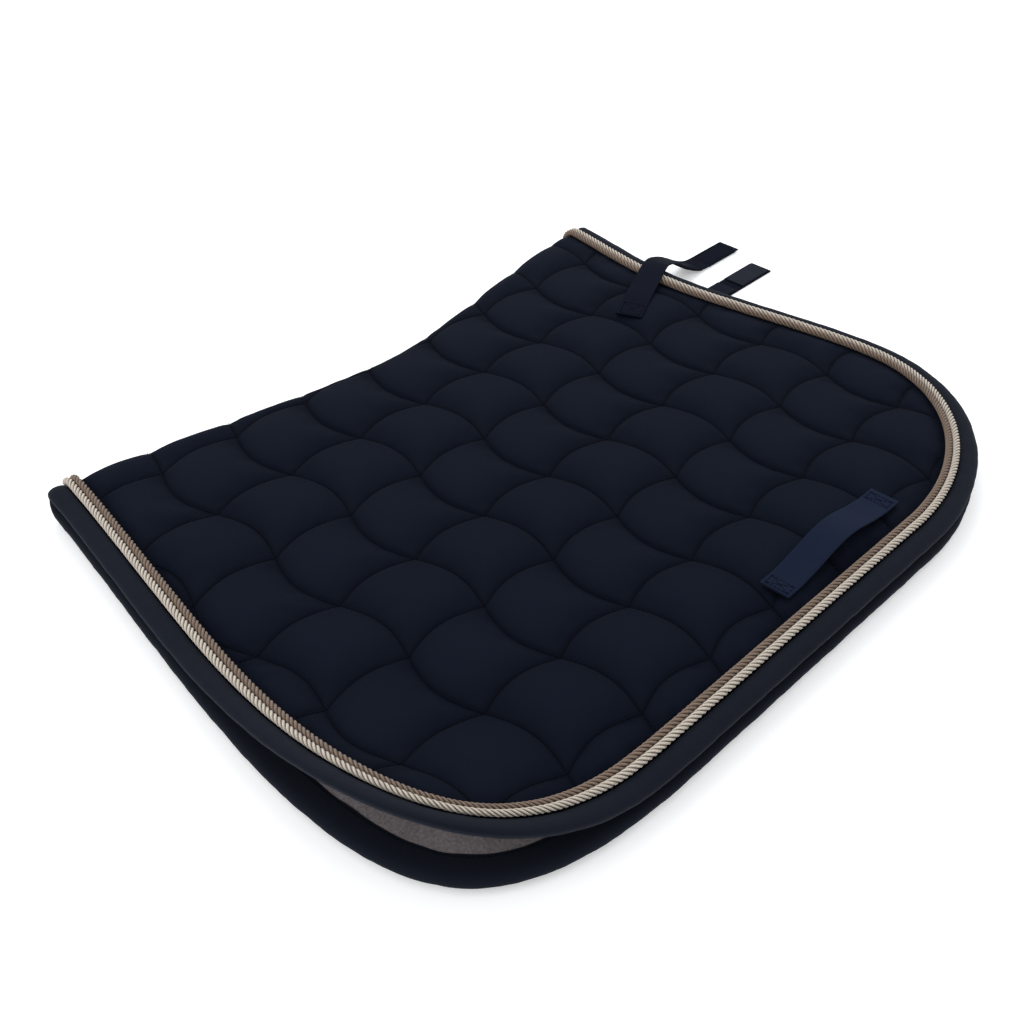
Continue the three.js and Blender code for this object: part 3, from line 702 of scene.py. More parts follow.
def rope(name, inwards, side):
    """A rope laid along the edge: the clover section turns once every pitch."""
    share = np.linspace(0, 1, int(EDGE_LENGTH / ROPE_STEP))[:, None]
    run = share * EDGE_LENGTH
    angle = np.linspace(0, 2 * math.pi, SKIN_POINTS, endpoint=False)[None, :]
    turn = 2 * math.pi * run / TWIST_PITCH
    reach = clover(angle)
    across, up = reach * np.cos(angle + turn), reach * np.sin(angle + turn)
    level = ROPE_HEIGHT + ROPE_WAVE * ripple(run, ROPE_WAVES, seed=11)
    if side == "left":
        at = along_edge(share, inwards, ROPE_HEIGHT, side) - ORIGIN
        beside = (PRESSED_WIDTH - np.abs(at[..., 1] - STRAP_START[1])) / PRESSED_FADE
        level = level - ROPE_PRESSED * (at[..., 0] > STRAP_START[0]) * smooth(beside)
    flat_map = np.stack(np.broadcast_arrays(run, angle * STRAND_RADIUS * 2), -1)
    cord = swept(name, along_edge(share, inwards + across, level + up, side), flat_map)
    # Painted shade: the groove depth is stored as the puff attribute, and the shader darkens the base
    # colour in the grooves between the strands.
    groove = (reach - reach.min()) / np.ptp(reach)
    puff = cord.data.attributes.new("puff", "FLOAT", "POINT")
    puff.data.foreach_set("value", np.broadcast_to(groove, up.shape).astype(np.float32).ravel())
    return cord


ropes = {}
for side in ("left", "right"):
    for colour, inwards in ROPE_PLACES.items():
        ropes[side, colour] = rope(f"{side}_{colour}_twisted_rope", inwards, side)
print("triangles in one rope:", triangles_in(ropes["right", "beige"]))

# %% [markdown]
# ## Stitches
# Every stitch is a short bead of thread. One bead is worked out as a few rings, and copies of it are
# set along a line of points in one array sum, so thousands of stitches cost no loop over points.

# %% Stitches
STITCH_PITCH = 3.4 * MM
STITCH_LENGTH = 2.7 * MM
THREAD_RADIUS = 0.34 * MM
THREAD_RISE = 0.4 * MM  # height of the thread's middle above the stitch lines
BEAD_RINGS = np.array([(-0.5, 0.35), (0.0, 1.0), (0.5, 0.35)])  # place along the stitch, share of radius
BEAD_SIDES = 5


def beads(lines):
    """Points and faces of stitches along lines. Each line is (points, face normals): at every pitch a
    bead is set with its length along the line and its section in the plane across it."""
    middles, alongs, ups = [], [], []
    for points, normals in lines:
        run = lengths_along(points)
        if run[-1] < STITCH_PITCH:
            continue
        at = np.arange(STITCH_PITCH / 2, run[-1], STITCH_PITCH)
        near, far = at - STITCH_LENGTH / 2, at + STITCH_LENGTH / 2
        middles.append(np.stack([np.interp(at, run, points[:, k]) for k in range(3)], 1))
        alongs.append(np.stack([np.interp(far, run, points[:, k]) - np.interp(near, run, points[:, k])
                                for k in range(3)], 1))
        ups.append(np.stack([np.interp(at, run, normals[:, k]) for k in range(3)], 1))
    middle, along, up = np.vstack(middles), np.vstack(alongs), np.vstack(ups)
    along /= np.linalg.norm(along, axis=1)[:, None]
    across = np.cross(along, up)
    across /= np.linalg.norm(across, axis=1)[:, None]
    up = np.cross(across, along)
    angle = np.linspace(0, 2 * math.pi, BEAD_SIDES, endpoint=False)
    place_along = BEAD_RINGS[:, 0, None] * STITCH_LENGTH + 0 * angle
    radius = BEAD_RINGS[:, 1, None] * THREAD_RADIUS
    local = np.stack([place_along, radius * np.cos(angle), radius * np.sin(angle)], -1).reshape(-1, 3)
    axes = np.stack([along, across, up], 1)
    points = middle[:, None] + np.einsum("pk,nkj->npj", local, axes)
    rings = grid_faces(len(BEAD_RINGS), BEAD_SIDES, wrap=True)
    starts = (np.arange(len(middle)) * len(local))[:, None, None]
    squares = (rings[None] + starts).reshape(-1, 4)
    caps = np.array([range(BEAD_SIDES), range(len(local) - BEAD_SIDES, len(local))])
    return points, squares, (caps[None] + starts).reshape(-1, BEAD_SIDES).tolist()


def stitched(name, lines):
    """A piece made of all the stitches along lines, its flat map running along each bead."""
    points, squares, caps = beads(lines)
    return make_piece(name, points, squares, points[..., :2], extra=caps)


print("faces of one stitch:", BEAD_SIDES * (len(BEAD_RINGS) - 1) + 2)


# %% Stitches of the quilting
LINE_SAMPLES = 1200
FROM_SHOULDER, FROM_SEAM = 2 * MM, 1.5 * MM  # the stitches stop this far short of both


def folded_line(x, y, h, side):
    """A line of flat places wrapped round the fold, with the outward direction of the cloth at each."""
    points = place(x, y, h, side)
    return points, place(x, y, h + MM, side) - points


def quilting_lines(side):
    """Dense lines along every row and column of the quilting, cut where they leave the panel."""
    dense = np.linspace(0, 1, LINE_SAMPLES)
    across = CELLS_ACROSS[0] + (CELLS_ACROSS[1] - CELLS_ACROSS[0]) * dense
    down = CELLS_DOWN[0] + (CELLS_DOWN[1] - CELLS_DOWN[0]) * dense
    routes = [quilted(across, np.full_like(across, v)) for v in range(*CELLS_DOWN)]
    routes += [quilted(np.full_like(down, u), down) for u in range(*CELLS_ACROSS)]
    lines = []
    for x, y in routes:
        inwards, _ = edge_distance(x, y)
        inside = (inwards > SHOULDER + FROM_SHOULDER) & (seam_line(x) - y > FROM_SEAM)
        for part in np.split(np.arange(len(x)), np.flatnonzero(np.diff(inside.astype(int))) + 1):
            if inside[part[0]] and len(part) > 3:
                level = RIM_TOP + (VALLEY - RIM_TOP) * from_rim(inwards[part]) + THREAD_RISE
                level = pressed(x[part], y[part], level, side)
                lines.append(folded_line(x[part], y[part], level, side))
    return lines


quilt_threads = {side: stitched(f"{side}_quilting_thread", quilting_lines(side))
                 for side in ("left", "right")}
print("triangles in one half's quilting thread:", triangles_in(quilt_threads["right"]))

# %% Stitches along the binding's lip
LIP_STITCHES, LIP_FACE = 17.3 * MM, 3.85 * MM  # distance inwards and height of the lip's stitches
LIP_ENDS = (0.012, 0.988)  # shares of the edge's length, a little short of the fold at both ends
lip_share = np.linspace(*LIP_ENDS, 900)
lip_threads = {}
for side in ("left", "right"):
    lip = along_edge(lip_share, LIP_STITCHES, LIP_FACE, side)
    inward_face = along_edge(lip_share, LIP_STITCHES, LIP_FACE - MM, side) - lip
    lip_threads[side] = stitched(f"{side}_binding_thread", [(lip, inward_face)])
print("triangles in one half's binding thread:", triangles_in(lip_threads["right"]))

# %% [markdown]
# ## Webbing straps
# A strap is one length of flat webbing, sewn down at one end, that bends where it leaves the pad and
# again where it meets the table. It is made as one ribbon along a smooth line and cut in the middle of
# its free run, into a sewn part and a tip part.

# %% Ribbons
EDGE_ROUND = 0.7 * MM
RIBBON_STEP = 1.5 * MM


def open_curve(points, step):
    """A smooth line through points (Catmull-Rom with repeated ends), with places one step apart."""
    points = np.array(points, float)
    padded = np.vstack([2 * points[0] - points[1], points, 2 * points[-1] - points[-2]])
    t = np.linspace(0, 1, 24, endpoint=False)[None, :, None]
    a, b, c, d = (padded[k:len(padded) - 3 + k, None] for k in range(4))
    cubic = 2 * b + (c - a) * t + (2 * a - 5 * b + 4 * c - d) * t**2 + (3 * b - a - 3 * c + d) * t**3
    return evenly(np.vstack([0.5 * cubic.reshape(-1, 3), points[-1:]]), step)


def ribbon_frame(line):
    """Directions of a ribbon along a line: along it, level across it, and out of its upper face."""
    along = np.gradient(line, axis=0)
    along /= np.linalg.norm(along, axis=1)[:, None]
    across = np.stack([-along[:, 1], along[:, 0], np.zeros(len(along))], 1)
    across /= np.linalg.norm(across, axis=1)[:, None]
    return along, across, np.cross(along, across)


def flat_section(width, low, high, around=7):
    """A band's section with rounded long edges: (across, up) pairs, upper face first."""
    turn = np.linspace(-math.pi / 2, math.pi / 2, around)
    middle, half = (low + high) / 2, (high - low) / 2
    bulge = np.stack([(width / 2 - EDGE_ROUND) + EDGE_ROUND * np.cos(turn),
                      middle + half * np.sin(turn)], 1)
    places = np.linspace(0.85, -0.85, 9) * width / 2
    top_face = np.stack([places, np.full(9, high)], 1)
    low_face = np.stack([places[::-1], np.full(9, low)], 1)
    return np.vstack([bulge, top_face, bulge[::-1] * (-1, 1), low_face])


def ribbon(name, line, width, low, high, first_run=0.0):
    """A band along a line on its lower face, with a flat map of (run, across)."""
    _, across, up = ribbon_frame(line)
    section = flat_section(width, low, high)
    points = line[:, None] + section[None, :, :1] * across[:, None] + section[None, :, 1:] * up[:, None]
    run = first_run + lengths_along(line)[:, None] + 0 * section[None, :, 0]
    flat_map = np.stack(np.broadcast_arrays(run, section[None, :, 0]), -1)
    return swept(name, points, flat_map)


print("points round a strap:", len(flat_section(STRAP_WIDTH, 0, STRAP_THICK)))

# %% Parts of a ribbon and its stitches
SEAM_MARGIN, SEAM_HALF_WIDTH = 2.5 * MM, 9.5 * MM
LOOP_SEAM = 12 * MM


def part_of(line, start, end):
    """The part of a line between two running lengths, its ends included."""
    run = lengths_along(line)
    at = np.concatenate([[start], run[(run > start + 0.2 * MM) & (run < end - 0.2 * MM)], [end]])
    return np.stack([np.interp(at, run, line[:, k]) for k in range(3)], 1)


def sewn_lines(line, corners, height):
    """Stitch lines on a ribbon through (run, across) corners, at a height above the line."""
    run = lengths_along(line)
    _, across, up = ribbon_frame(line)
    lines = []
    for begin, finish in zip(corners[:-1], corners[1:]):
        mix = np.linspace(0, 1, 40)[:, None]
        at = np.array(begin) * (1 - mix) + np.array(finish) * mix
        base, side_way, out = (np.stack([np.interp(at[:, 0], run, a[:, k]) for k in range(3)], 1)
                               for a in (line, across, up))
        lines.append((base + side_way * at[:, 1:] + out * height, out))
    return lines


def crossed_box(start, end, half_width):
    """Corners of a stitched box with a cross in it, drawn without lifting the needle."""
    a, b, c, d = (start, -half_width), (end, -half_width), (end, half_width), (start, half_width)
    return [a, b, c, d, a, c, d, b]


print("corners of a crossed box:", len(crossed_box(0, LOOP_SEAM, SEAM_HALF_WIDTH)))

# %% The right strap and the left strap
TOP_LEVEL = 2 * MIDDLE + 0.3 * MM  # just clear of the right half's top
SEWN_LEVEL = MIDDLE + SEWN_HEIGHT + 0.45 * MM
TABLE_LEVEL = 1.5 * MM
ON_TABLE = 0.1 * MM
THINNED = STRAP_THICK - 0.1 * MM  # the left half's webbing lies pressed between the pad and the table
THREAD_PROUD = 0.1 * MM
TIP_LENGTH = 57 * MM
PATCH_LENGTH = 46 * MM
LOOP_PATCH_FROM, HOOK_PATCH_FROM = -52 * MM, 6.3 * MM  # from the line where the tip folds
PATCH_FACES = {"right": (-1.45 * MM, -0.3 * MM), "left": (1.9 * MM, 3.05 * MM)}
PATCH_STITCHES = np.array([(2, -10), (44, -10), (44, 10), (2, 10), (2, -10)]) * MM
OVER_EDGE = STRAP_START + STRAP_TO_EDGE * np.array([math.cos(STRAP_HEADING), math.sin(STRAP_HEADING)])
BEND_X = OVER_EDGE[0] + 78 * MM
TIP_Y = OVER_EDGE[1] + 4 * MM


def on_pad(run, level):
    """A place on the right strap's straight part, at a run from its sewn end."""
    return (STRAP_START[0] + run * math.cos(STRAP_HEADING),
            STRAP_START[1] + run * math.sin(STRAP_HEADING), level)


right_line = open_curve([
    on_pad(0, SEWN_LEVEL), on_pad(12 * MM, SEWN_LEVEL), on_pad(STRAP_SEWN, SEWN_LEVEL + 0.5 * MM),
    on_pad(38 * MM, TOP_LEVEL), on_pad(0.55 * STRAP_TO_EDGE, TOP_LEVEL),
    on_pad(STRAP_TO_EDGE - 16 * MM, TOP_LEVEL),
    (OVER_EDGE[0] + 2 * STRAP_THICK, OVER_EDGE[1], TOP_LEVEL - 2 * STRAP_THICK),
    (OVER_EDGE[0] + 24 * MM, TIP_Y, 0.68 * TOP_LEVEL),
    (OVER_EDGE[0] + 47 * MM, TIP_Y, 0.33 * TOP_LEVEL),
    (OVER_EDGE[0] + 65 * MM, TIP_Y, 0.11 * TOP_LEVEL),
    (BEND_X, TIP_Y, TABLE_LEVEL), (BEND_X + TIP_LENGTH / 2, TIP_Y, TABLE_LEVEL),
    (BEND_X + TIP_LENGTH, TIP_Y, TABLE_LEVEL),
], RIBBON_STEP) + ORIGIN
LEFT_TIP = LEFT_STRAP_BEND + 57.6 * MM
left_places = (STRAP_START[0], LEFT_STRAP_BEND, LEFT_TIP, LEFT_TIP + TIP_LENGTH)
left_line = open_curve([(x, STRAP_START[1], 0.0) for x in left_places], RIBBON_STEP) + ORIGIN
left_line[:, 2] = ON_TABLE

straps = {}
strap_threads = {}
patches = {}
for side, line, fold_x in (("right", right_line, BEND_X), ("left", left_line, LEFT_TIP)):
    run = lengths_along(line)
    total = run[-1]
    fold_run = np.interp(fold_x + ORIGIN[0], line[:, 0], run)
    lift_run = STRAP_SEWN if side == "right" else LEFT_STRAP_BEND - STRAP_START[0]
    cut = (lift_run + fold_run) / 2
    thick = STRAP_THICK if side == "right" else THINNED
    straps[side, "sewn"] = ribbon(f"{side}_strap_sewn_part", part_of(line, 0, cut), STRAP_WIDTH, 0, thick)
    straps[side, "tip"] = ribbon(f"{side}_strap_tip_part", part_of(line, cut, total),
                                 STRAP_WIDTH, 0, thick, cut)
    facing = PATCH_FACES[side]
    for kind, start in (("loop", fold_run + LOOP_PATCH_FROM), ("hook", fold_run + HOOK_PATCH_FROM)):
        patches[side, kind] = ribbon(
            f"{side}_{kind}_tape_patch", part_of(line, start, start + PATCH_LENGTH),
            STRAP_WIDTH - 2 * MM, *facing, first_run=start)
        sunk_top = facing[1] - 0.2 * MM  # sunk into the left tapes, because they close on each other
        height = thick + THREAD_PROUD if side == "right" else sunk_top
        box = PATCH_STITCHES + (start, 0)
        strap_threads[side, kind] = stitched(f"{side}_{kind}_patch_thread", sewn_lines(line, box, height))
    if side == "right":
        box = crossed_box(SEAM_MARGIN, STRAP_SEWN - SEAM_MARGIN, SEAM_HALF_WIDTH)
        strap_threads[side, "anchor"] = stitched(
            "right_strap_anchor_thread", sewn_lines(line, box, thick + THREAD_PROUD))
    print(side, f"strap {total:.3f} m, cut at {cut:.3f} m")


# %% [markdown]
# ## Girth loops
# A girth loop is a short band of webbing, sewn down at both ends, so that the girth can pass under its
# middle. The ribbon that makes the straps makes it too, along a line that bows up between its two
# seams. The left one lies pressed flat between the pad and the table.

# %% The girth loops
LOOP_BOW = 9.5 * MM


def loop_line(side):
    """A loop's middle line: level where it is sewn; the right one bows up between by the squared sine."""
    run = np.arange(0, LOOP_LENGTH + 1e-6, RIBBON_STEP / 1.5)
    share = np.clip((run - LOOP_SEWN) / (LOOP_LENGTH - 2 * LOOP_SEWN), 0, 1)
    ends = smooth(np.minimum(run, LOOP_LENGTH - run) / LOOP_SEWN - 0.6)
    lifted = SEWN_LEVEL + (TOP_LEVEL - SEWN_LEVEL) * ends + LOOP_BOW * np.sin(math.pi * share) ** 2
    level = lifted if side == "right" else ON_TABLE + 0 * run
    return np.stack([GIRTH_LOOP_START + run, -GIRTH_LOOP_DROP + 0 * run, level], 1) + ORIGIN


loops = {}
for side in ("left", "right"):
    line = loop_line(side)
    thick = STRAP_THICK if side == "right" else THINNED
    loops[side] = ribbon(f"{side}_webbing_girth_loop", line, STRAP_WIDTH, 0, thick)
    if side == "right":
        boxes = [crossed_box(SEAM_MARGIN, LOOP_SEAM, SEAM_HALF_WIDTH),
                 crossed_box(LOOP_LENGTH - LOOP_SEAM, LOOP_LENGTH - SEAM_MARGIN, SEAM_HALF_WIDTH)]
        sewn = [part for box in boxes for part in sewn_lines(line, box, thick + THREAD_PROUD)]
        loop_thread = stitched("right_girth_loop_thread", sewn)
print("loops:", [loops[side].name for side in loops])


# %% [markdown]
# ## Seam tape
# On a real pad a tape covers the seam inside the fold. Here each half has its own strip, because each
# moves with its own body, and their last rows meet in the fold plane.

# %% Tape over the seam inside the fold
TAPE_ACROSS = np.array([-12, -9, -6, -3, -0.4, 0.15]) * MM  # places across the tape, from the crease
TAPE_LOW = np.array([0.15, 0.1, 0.05, 0.02, 0.0, -0.15]) * MM
TAPE_HIGH = np.array([0.8, 1.0, 1.0, 1.0, 0.9, -0.15]) * MM
TAPE_SHORT = 3 * MM  # the tape stops this far from each end of the spine
TAPE_STATIONS = 160


def crease_tape(side):
    """A thin tape along the inside of the seam: a flat strip whose last row turns up to the other half."""
    x = np.linspace(TAPE_SHORT, SPINE_LENGTH - TAPE_SHORT, TAPE_STATIONS)[:, None]
    crease = fold_line(x) - HALF + TAPE_ACROSS
    y = np.hstack([crease, crease[:, -2:0:-1]])
    h = np.broadcast_to(np.concatenate([TAPE_LOW, TAPE_HIGH[-2:0:-1]]), y.shape)
    sign = -1 if side == "left" else 1
    points = np.stack([x + 0 * y, y, MIDDLE + sign * (h + CLEARANCE)], -1) + ORIGIN
    return swept(f"{side}_seam_tape", points, np.stack([x + 0 * y, y], -1))


tapes = {side: crease_tape(side) for side in ("left", "right")}
print("seam tapes:", len(tapes))

# %% [markdown]
# ## Cloth effects
# Two shader groups serve every finish. One draws the threads of a weave from the flat map, the other
# gives slow and fine unevenness from the object's own coordinates. Each returns values only.


# %% Shader groups
def new_group(name, inputs, outputs):
    """An empty shader group with named number or vector sockets."""
    group = bpy.data.node_groups.new(name, "ShaderNodeTree")
    kinds = {"value": "NodeSocketFloat", "vector": "NodeSocketVector"}
    for label, kind, default in inputs:
        socket = group.interface.new_socket(name=label, in_out="INPUT", socket_type=kinds[kind])
        if kind == "value":
            socket.default_value = default
    for label in outputs:
        group.interface.new_socket(name=label, in_out="OUTPUT", socket_type="NodeSocketFloat")
    return group, group.nodes.new("NodeGroupInput"), group.nodes.new("NodeGroupOutput")


def calculate(tree, operation, *values):
    """A Math node on values, each a number or another node's output."""
    node = tree.nodes.new("ShaderNodeMath")
    node.operation = operation
    for socket, value in zip(node.inputs, values):
        if isinstance(value, (int, float)):
            socket.default_value = value
        else:
            tree.links.new(value, socket)
    return node.outputs[0]


RIB_SHARE = 0.65  # how much of the twill's height the slanting ribs make, the threads making the rest
SHADE_POWER = 1.6  # keeps the dark to the gaps between the threads


def ridges(tree, value):
    """Round ridges one unit apart: the size of sin(pi * value)."""
    return calculate(tree, "ABSOLUTE", calculate(tree, "SINE", calculate(tree, "MULTIPLY", value, math.pi)))


def mixed(tree, a, b, share_a, share_b):
    """Two values added, each times its share."""
    return calculate(tree, "ADD", calculate(tree, "MULTIPLY", a, share_a),
                     calculate(tree, "MULTIPLY", b, share_b))


def weave_group():
    """Threads of a cloth. Lean slants each rib by that many threads a row; Ribs brings out the cross
    threads."""
    tree, given, result = new_group(
        "woven_threads",
        [("Flat Map", "vector", None), ("Threads", "value", 2000.0),
         ("Lean", "value", 1.0), ("Ribs", "value", 0.0)],
        ["Height", "Shade"])
    split = tree.nodes.new("ShaderNodeSeparateXYZ")
    tree.links.new(given.outputs["Flat Map"], split.inputs[0])
    x, y = (calculate(tree, "MULTIPLY", split.outputs[k], given.outputs["Threads"]) for k in (0, 1))
    diagonal = calculate(tree, "ADD", x, calculate(tree, "MULTIPLY", y, given.outputs["Lean"]))
    woven = mixed(tree, ridges(tree, diagonal), ridges(tree, y), RIB_SHARE, 1 - RIB_SHARE)
    ribs = given.outputs["Ribs"]
    height = mixed(tree, woven, ridges(tree, x), calculate(tree, "SUBTRACT", 1.0, ribs), ribs)
    tree.links.new(height, result.inputs["Height"])
    tree.links.new(calculate(tree, "POWER", height, SHADE_POWER), result.inputs["Shade"])
    return tree


def unevenness_group():
    """Slow fading and fine fibre unevenness: two noises on object coordinates, about 0.5 each."""
    group, given, result = new_group(
        "cloth_unevenness", [("Place", "vector", None), ("Slow", "value", 9.0), ("Fine", "value", 900.0)],
        ["Fading", "Fibre"])
    for label, source, detail in (("Fading", "Slow", 3.0), ("Fibre", "Fine", 2.0)):
        noise = group.nodes.new("ShaderNodeTexNoise")
        noise.inputs["Detail"].default_value = detail
        group.links.new(given.outputs["Place"], noise.inputs["Vector"])
        group.links.new(given.outputs[source], noise.inputs["Scale"])
        group.links.new(noise.outputs["Fac"], result.inputs[label])
    return group


WEAVE = weave_group()
UNEVEN = unevenness_group()
print("shader groups:", WEAVE.name, UNEVEN.name)

# %% [markdown]
# ## Finishes
# Dark cloth is mostly about how little light it returns: a low base colour, a low specular level and a
# touch of sheen where loose fibres catch the light at the rim of each puff. The weave only has to lift
# the highlights and break up the shading.


# %% Finish builder
def place_group(tree, group, **values):
    """Puts a shader group in a tree with its own values."""
    node = tree.nodes.new("ShaderNodeGroup")
    node.node_tree = group
    for label, value in values.items():
        node.inputs[label].default_value = value
    return node


RAMP_ENDS = (0.15, 0.85)  # mixes at which the colour is fully dark and fully light
BUMP_STRENGTH = 0.6


def cloth(name, dark, light, roughness=0.85, specular=0.2, sheen=0.1, sheen_rough=0.45,
          sheen_tint=(1, 1, 1), threads=1600.0, lean=1.0, ribs=0.0, weave_depth=0.12, fibre_depth=0.1,
          slow=9.0, fine=900.0, fading=0.35, painted_hollow_shade=0.0, weave_shade=0.5):
    """A cloth finish between a dark and a light colour: the weave's shade, the fading and the fibre noise
    choose the mix, and weave and fibre together make the bump."""
    material = bpy.data.materials.new(name)
    material.use_nodes = True
    tree = material.node_tree
    shader = tree.nodes["Principled BSDF"]
    shader.inputs["Roughness"].default_value = roughness
    shader.inputs["Specular IOR Level"].default_value = specular
    shader.inputs["Sheen Weight"].default_value = sheen
    shader.inputs["Sheen Roughness"].default_value = sheen_rough
    shader.inputs["Sheen Tint"].default_value = (*sheen_tint, 1)
    flat = tree.nodes.new("ShaderNodeUVMap")
    flat.uv_map = "cloth"
    weave = place_group(tree, WEAVE, Threads=threads, Lean=lean, Ribs=ribs)
    tree.links.new(flat.outputs["UV"], weave.inputs["Flat Map"])
    places = tree.nodes.new("ShaderNodeTexCoord")
    uneven = place_group(tree, UNEVEN, Slow=slow, Fine=fine)
    tree.links.new(places.outputs["Object"], uneven.inputs["Place"])
    mix = mixed(tree, weave.outputs["Shade"], uneven.outputs["Fibre"],
                weave_shade, (1 - weave_shade) * (1 - fading))
    mix = calculate(tree, "ADD", mix, calculate(tree, "MULTIPLY", uneven.outputs["Fading"], fading))
    # Painted shade: the base colour is darkened where the point's puff value is low, in the creases between
    # puffs and in the grooves between rope strands.
    if painted_hollow_shade:
        puff = tree.nodes.new("ShaderNodeAttribute")
        puff.attribute_name = "puff"
        mix = mixed(tree, mix, puff.outputs["Fac"], 1 - painted_hollow_shade, painted_hollow_shade)
    ramp = tree.nodes.new("ShaderNodeValToRGB")
    for end, position, colour in zip(ramp.color_ramp.elements, RAMP_ENDS, (dark, light)):
        end.position, end.color = position, (*colour, 1)
    tree.links.new(mix, ramp.inputs["Fac"])
    tree.links.new(ramp.outputs["Color"], shader.inputs["Base Color"])
    height = mixed(tree, weave.outputs["Height"], uneven.outputs["Fibre"], weave_depth, fibre_depth)
    bump = tree.nodes.new("ShaderNodeBump")
    bump.inputs["Strength"].default_value = BUMP_STRENGTH
    bump.inputs["Distance"].default_value = MM
    tree.links.new(height, bump.inputs["Height"])
    tree.links.new(bump.outputs["Normal"], shader.inputs["Normal"])
    return material


def dress(piece, material):
    """Gives a piece its one finish."""
    piece.data.materials.clear()
    piece.data.materials.append(material)


print("mixes that are fully dark and fully light:", RAMP_ENDS)

# %% The finishes
BLUE_SHEEN, WEBBING_SHEEN = (0.7, 0.78, 1.0), (0.7, 0.8, 1.0)
# Painted shade: the twill's base colour is darkened in the creases between the puffs.
NAVY_TWILL = cloth("navy_quilted_twill", (0.0011, 0.0018, 0.0050), (0.0050, 0.0072, 0.0145), sheen=0.012,
                   sheen_tint=BLUE_SHEEN, threads=1500.0, specular=0.03, painted_hollow_shade=0.6)
NAVY_BINDING = cloth("navy_binding_cotton", (0.0022, 0.0033, 0.0068), (0.0060, 0.0084, 0.0150), sheen=0.03,
                     sheen_tint=BLUE_SHEEN, threads=2100.0, lean=0.0, weave_depth=0.08, specular=0.1)
WEBBING = dict(sheen_tint=WEBBING_SHEEN, threads=900.0, ribs=0.7, weave_depth=0.35)
NAVY_WEBBING = cloth("navy_ribbed_webbing", (0.0017, 0.0025, 0.0062), (0.0052, 0.0071, 0.0148),
                     sheen=0.008, specular=0.03, **WEBBING)
NAVY_LOOP_WEBBING = cloth("blue_ribbed_webbing", (0.0032, 0.0058, 0.0165), (0.0090, 0.0150, 0.0350),
                          sheen=0.02, specular=0.05, **WEBBING)
HOOK_TAPE = cloth("dark_hook_tape", (0.0020, 0.0030, 0.0072), (0.0090, 0.0120, 0.0240), sheen=0.01,
                  threads=620.0, lean=0.0, weave_depth=0.6, fibre_depth=0.2, specular=0.08, roughness=0.7)
LOOP_TAPE = cloth("dark_loop_tape", (0.0020, 0.0029, 0.0066), (0.0080, 0.0105, 0.0205), sheen=0.03,
                  threads=700.0, weave_depth=0.2, fibre_depth=1.0, fine=1400.0, specular=0.03)
# The thread is real navy thread, but its colour is set darker than the cloth as painted shade for the dark
# stitch-line valleys.
THREAD_WITH_PAINTED_SHADE = cloth("navy_thread_with_painted_valley_shade", (0.0010, 0.0014, 0.0034), (0.0030, 0.0040, 0.0080), sheen=0.0,
                    threads=3000.0, weave_depth=0.1, specular=0.04, roughness=0.8)
GREY_FLEECE = cloth("grey_brown_fleece", (0.040, 0.032, 0.034), (0.270, 0.232, 0.236), sheen=0.35,
                    sheen_rough=0.6, weave_depth=0.0, fibre_depth=1.8, fine=520.0, slow=45.0, fading=0.4,
                    weave_shade=0.0, specular=0.1, roughness=1.0)
# Painted shade: the cords' base colour is darkened in the grooves between the strands.
CORD = dict(sheen=0.2, threads=2300.0, lean=0.7, weave_depth=0.4, roughness=0.55, specular=0.35,
            slow=40.0, fading=0.2, painted_hollow_shade=0.85)
BEIGE_CORD = cloth("beige_twisted_cord", (0.045, 0.030, 0.020), (0.640, 0.560, 0.470), **CORD)
BROWN_CORD = cloth("brown_twisted_cord", (0.013, 0.007, 0.004), (0.225, 0.150, 0.104), **CORD)
print("finishes:", len(bpy.data.materials))

# %% [markdown]
# ## Joining the looks to the frame
# Each piece now gets its finish, and the girth loops, tape patches and their threads the imported body
# they move with. Cloth that crosses the spine or a strap's bend has its transform applied in place.


def across_spine(piece):
    """Applies the transform of a piece to its mesh, so that it stays where it was built."""
    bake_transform(piece)


for side in ("left", "right"):
    dress(panels[side], NAVY_TWILL)
    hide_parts(f"{side}_outer_shell", f"{side}_wadding")
    across_spine(panels[side])

    dress(linings[side], GREY_FLEECE)
    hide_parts(f"{side}_lining")
    across_spine(linings[side])

    dress(bindings[side], NAVY_BINDING)
    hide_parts(f"{side}_edge_binding")
    across_spine(bindings[side])

    for colour, finish in (("beige", BEIGE_CORD), ("brown", BROWN_CORD)):
        cord = ropes[side, colour]
        dress(cord, finish)
        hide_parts(f"{side}_{colour}_rope")
        across_spine(cord)

    dress(tapes[side], NAVY_BINDING)
    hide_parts(f"{side}_crease_tape")
    across_spine(tapes[side])

    for thread, name in ((quilt_threads[side], "quilted_cotton"), (lip_threads[side], "binding_cotton")):
        dress(thread, THREAD_WITH_PAINTED_SHADE)
    across_spine(quilt_threads[side])
    across_spine(lip_threads[side])

    dress(loops[side], NAVY_LOOP_WEBBING)
    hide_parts(f"{side}_girth_loop")
    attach(loops[side], f"{side}_half")

dress(loop_thread, THREAD_WITH_PAINTED_SHADE)
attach(loop_thread, "right_half")

